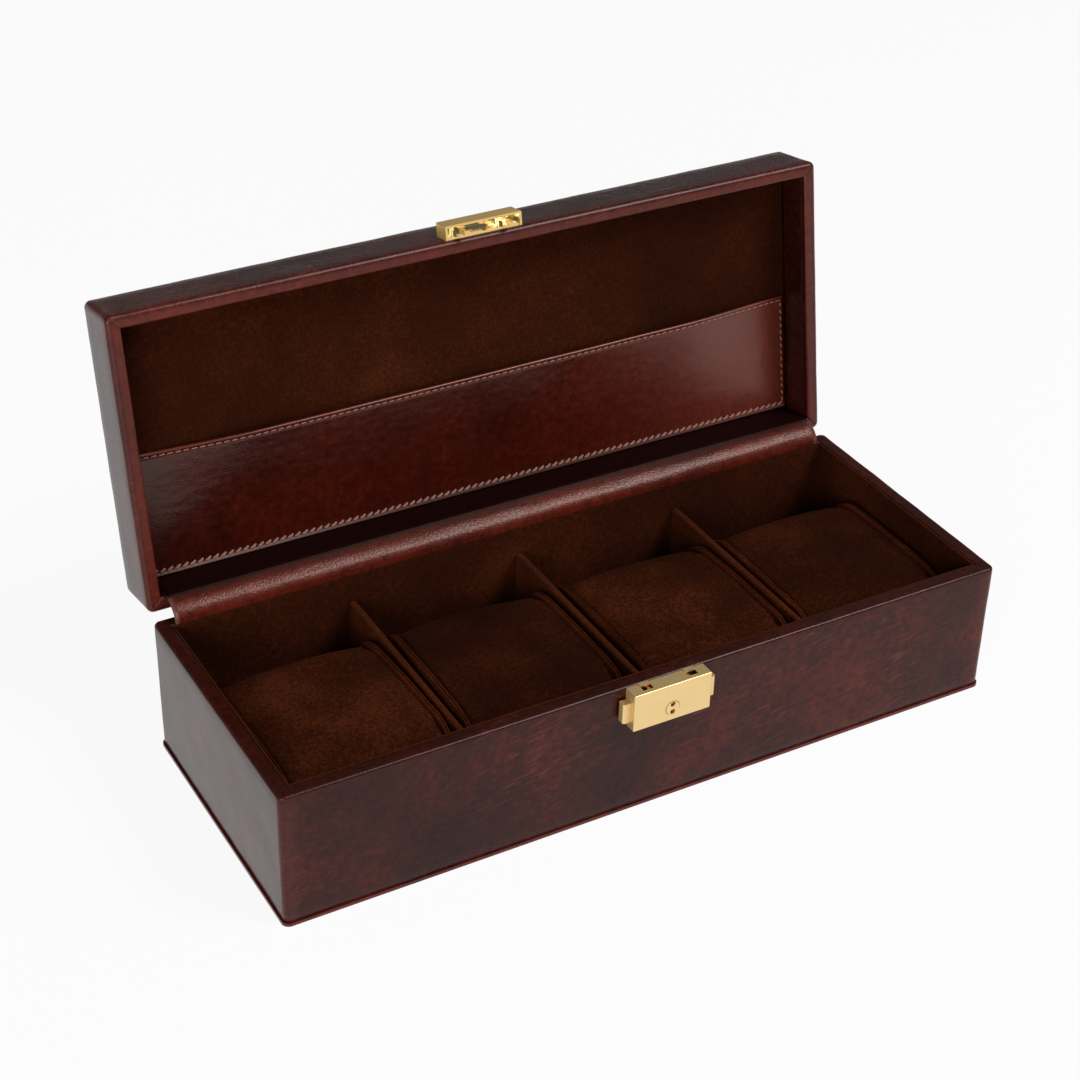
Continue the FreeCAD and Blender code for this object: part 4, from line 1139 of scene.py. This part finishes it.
# Painted light: towards its right end the pocket gets the lighter, redder colour, where the light falls on it
PAINTED_LIGHT_RUN = (35.0 * MM, 125.0 * MM)
FOLD_RUB = 0.7
FOLD_RUB_RUN = (0.6 * MM, FOLD_WIDTH)
RAW_WIDTH = 1.7 * MM
RAW_RUN = (-120.0 * MM, 0.0)
RAW_FADE = 0.7


def spread(low, high, step):
    """Evenly spaced values about a step apart, from low to high."""
    count = round((high - low) / step)
    return [low + (high - low) * number / count for number in range(count + 1)]


xs = spread(pocket_low.x, pocket_high.x, POCKET_STEP_X)
ys = spread(pocket_low.y, pocket_high.y, POCKET_STEP_Y)
points = []
raw = []
rub_and_light = []
for surface in (pocket_height, pocket_gape):
    for y in ys:
        for x in xs:
            points.append(Vector((x, y, panel_face - surface(x, y))))
            raw.append(1.0 - RAW_FADE * ease(x, *RAW_RUN) if y > pocket_high.y - RAW_WIDTH else 0.0)
            fold_rub = FOLD_RUB * (1.0 - ease(y - pocket_low.y, *FOLD_RUB_RUN))
            rub_and_light.append(max(fold_rub, ease(x, *PAINTED_LIGHT_RUN)))
width = len(xs)
depth = len(ys)
sheet_size = width * depth
faces = []
for row in range(depth - 1):
    for place in range(width - 1):
        first = row * width + place
        quad = (first, first + 1, first + 1 + width, first + width)
        faces.append(quad)
        faces.append(tuple(sheet_size + corner for corner in reversed(quad)))
border = list(range(width))
border += [row * width + width - 1 for row in range(1, depth)]
border += [(depth - 1) * width + place for place in range(width - 2, -1, -1)]
border += [row * width for row in range(depth - 2, 0, -1)]
for first, second in zip(border, border[1:] + border[:1]):
    faces.append((first, sheet_size + first, sheet_size + second, second))
pocket = new_piece("pocket_sheet", points, faces, {"raw": raw, "edge": rub_and_light})
pocket.data.transform(OPENED)
dress(pocket, pocket_leather, "pocket_leather", "lid", "lid_pocket")

# %% A row of stitches
# Share of half a stitch's length and of its radius, for each ring of a stitch
STITCH_RINGS = ((-1.0, 0.35), (-0.8, 0.8), (-0.3, 1.0), (0.3, 1.0), (0.8, 0.8), (1.0, 0.35))
STITCH_SIDES = 8
STITCH_RISE = 0.5
STITCH_DIP = 1.2
DOWN = -UP


def stitches(name, seam, slant, length, radius):
    """seam: x and y of each stitch on the shut pocket; the ends of a stitch dip into the leather."""
    side = slant.cross(DOWN)
    points = []
    faces = []
    for x, y in seam:
        middle = Vector((x, y, panel_face - pocket_height(x, y)))
        start = len(points)
        for share, width in STITCH_RINGS:
            lift = radius * (STITCH_RISE - STITCH_DIP * share * share)
            centre = middle + slant * share * length / 2 + DOWN * lift
            for step in range(STITCH_SIDES):
                turn = 2.0 * math.pi * step / STITCH_SIDES
                points.append(centre + (side * math.cos(turn) + DOWN * math.sin(turn)) * radius * width)
        faces += tube_faces(len(STITCH_RINGS), STITCH_SIDES, start)
    return new_piece(name, points, faces)


# %% Seams of the pocket
PITCH = 3.1 * MM
SEAM_END = 3.0 * MM
SIDE_SEAM_END = 4.0 * MM
FOOT_STITCH_IN = 2.3 * MM
MOUTH_SLANT = Vector((1.0, -0.1, 0.0)).normalized()
SIDE_SLANT = Vector((0.28, 1.0, 0.0)).normalized()
FOOT_SLANT = Vector((1.0, -0.55, 0.0)).normalized()
# Length and radius of a stitch
MOUTH_STITCH = (2.8 * MM, 0.28 * MM)
SIDE_STITCH = (2.7 * MM, 0.32 * MM)
FOOT_STITCH = (3.2 * MM, 0.55 * MM)

stitch_xs = spread(pocket_low.x + SEAM_END, pocket_high.x - SEAM_END, PITCH)
stitch_ys = spread(pocket_low.y + SIDE_SEAM_END, pocket_high.y - SIDE_SEAM_END, PITCH)
side_xs = (pocket_low.x + STITCH_IN, pocket_high.x - STITCH_IN)
mouth_seam = [(x, pocket_low.y + STITCH_IN) for x in stitch_xs]
side_seams = [(x, y) for x in side_xs for y in stitch_ys]
foot_seam = [(x, pocket_high.y - FOOT_STITCH_IN) for x in stitch_xs]
seams = [stitches("pocket_mouth_stitches", mouth_seam, MOUTH_SLANT, *MOUTH_STITCH)]
seams.append(stitches("pocket_side_stitches", side_seams, SIDE_SLANT, *SIDE_STITCH))
seams.append(stitches("pocket_foot_stitches", foot_seam, FOOT_SLANT, *FOOT_STITCH))
for seam, yarn in zip(seams, (thread, thread, pale_thread)):
    seam.data.transform(OPENED)
    dress(seam, yarn, "pocket_leather", "lid")

# %% [markdown]
# ## The hinge strip
# A strip of leather covers the hinges from inside, glued to the back of the base and to the lid's wall, and
# rolls as the lid swings. It is a section drawn along the box. The roll is polished by use, and its lighter
# dyes are painted light; the shelf behind it, under the lid, is painted dark as shade and has a weaker shine.

# %% Section of the hinge strip
# Back and up from the middle of the base's underside, in millimetres
ROLL_START = 53.3
ROLL = (
    (ROLL_START, 54.0), (ROLL_START, 57.6), (54.0, 60.2), (56.1, 62.3), (59.2, 63.8),
    (62.6, 64.35), (66.0, 63.73), (72.0, 62.66),
)
ROLL_END_HEIGHT = 61.61
ROLL_SMOOTHNESS = 6

rolled = bpy.data.curves.new("strip_roll", "CURVE")
rolled.dimensions = "3D"
rolled.resolution_u = ROLL_SMOOTHNESS
spline = rolled.splines.new("BEZIER")
roll_points = [(ROLL_START, strip_low.z / MM), *ROLL, (strip_high.y / MM, ROLL_END_HEIGHT)]
spline.bezier_points.add(len(roll_points) - 1)
for point, (y, z) in zip(spline.bezier_points, roll_points):
    point.co = Vector((0.0, y, z)) * MM
    point.handle_left_type = "AUTO"
    point.handle_right_type = "AUTO"
roll_object = bpy.data.objects.new("strip_roll", rolled)
spine = [(vertex.co.y, vertex.co.z) for vertex in bpy.data.meshes.new_from_object(roll_object).vertices]
bpy.data.objects.remove(roll_object)
print("strip section", len(spine), "points")

# %% Hinge strip
STRIP_THICK = 0.9 * MM
STRIP_STEP = 2.0 * MM
STRIP_WAVE = 0.18 * MM
STRIP_WAVE_SIZE = (11.0 * MM, 5.0 * MM, 5.0 * MM)
WAVE_FADE = (58.0 * MM, 63.0 * MM)
# Painted shade: from the roll back to the shelf under the lid the strip darkens
STRIP_SHADE = (57.0 * MM, 61.5 * MM)
SHELF_FROM = 61.3 * MM
STRIP_RAW = 0.5
STRIP_RAW_TO = 60.0 * MM

strip_xs = spread(strip_low.x, strip_high.x, STRIP_STEP)
round_trip = [(number, 1) for number in range(len(spine))]
round_trip += [(number, -1) for number in reversed(range(len(spine)))]
points = []
raw = []
shade = []
for x in strip_xs:
    at_end = x in (strip_xs[0], strip_xs[-1])
    for number, side in round_trip:
        y, z = spine[number]
        before = spine[max(number - 1, 0)]
        after = spine[min(number + 1, len(spine) - 1)]
        along = Vector((after[0] - before[0], after[1] - before[1])).normalized()
        sample = Vector([value / size for value, size in zip((x, y, z), STRIP_WAVE_SIZE)])
        wave = STRIP_WAVE * noise.noise(sample) * (1.0 - ease(y, *WAVE_FADE))
        out = side * STRIP_THICK / 2 + wave
        points.append(Vector((x, y - along.y * out, z + along.x * out)))
        raw.append(STRIP_RAW if at_end and y < STRIP_RAW_TO else 0.0)
        shade.append(ease(y, *STRIP_SHADE))
faces = tube_faces(len(strip_xs), len(round_trip))
# Painted shade: the mark darkens the strip's shelf under the lid
strip = new_piece("hinge_strip_leather", points, faces, {"raw": raw, "mitre": shade})
dress(strip, strip_leather, "leather", None, "hinge_strip")
strip.data.materials.append(shelf_leather.material)
for face in strip.data.polygons:
    face.material_index = 1 if face.center.y > SHELF_FROM else 0
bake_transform(strip)

# %% [markdown]
# ## Softer edges
# Stamped brass has small rounded edges that catch the light, and so has the turned edge of the bottom cover.
# The CAD solids are sharp where their edges are small, so a narrow bevel modifier rounds them without
# touching the meshes.

# %% Bevels
BEVELS = {
    "lock_case": 0.2 * MM,
    "left_button": 0.3 * MM,
    "right_button": 0.3 * MM,
    "key_plug": 0.1 * MM,
    "lock_back_plate": 0.35 * MM,
    "strike_shell": 0.15 * MM,
    "strike_hooks": 0.15 * MM,
    "bottom_cover": 0.5 * MM,
}
BEVEL_SEGMENTS = 3
SHARP_ANGLE = math.radians(40)
for node, width in BEVELS.items():
    bevel = frame["nodes"][node].modifiers.new("small_edges", "BEVEL")
    bevel.width = width
    bevel.segments = BEVEL_SEGMENTS
    bevel.limit_method = "ANGLE"
    bevel.angle_limit = SHARP_ANGLE
print("bevelled", len(BEVELS), "pieces")
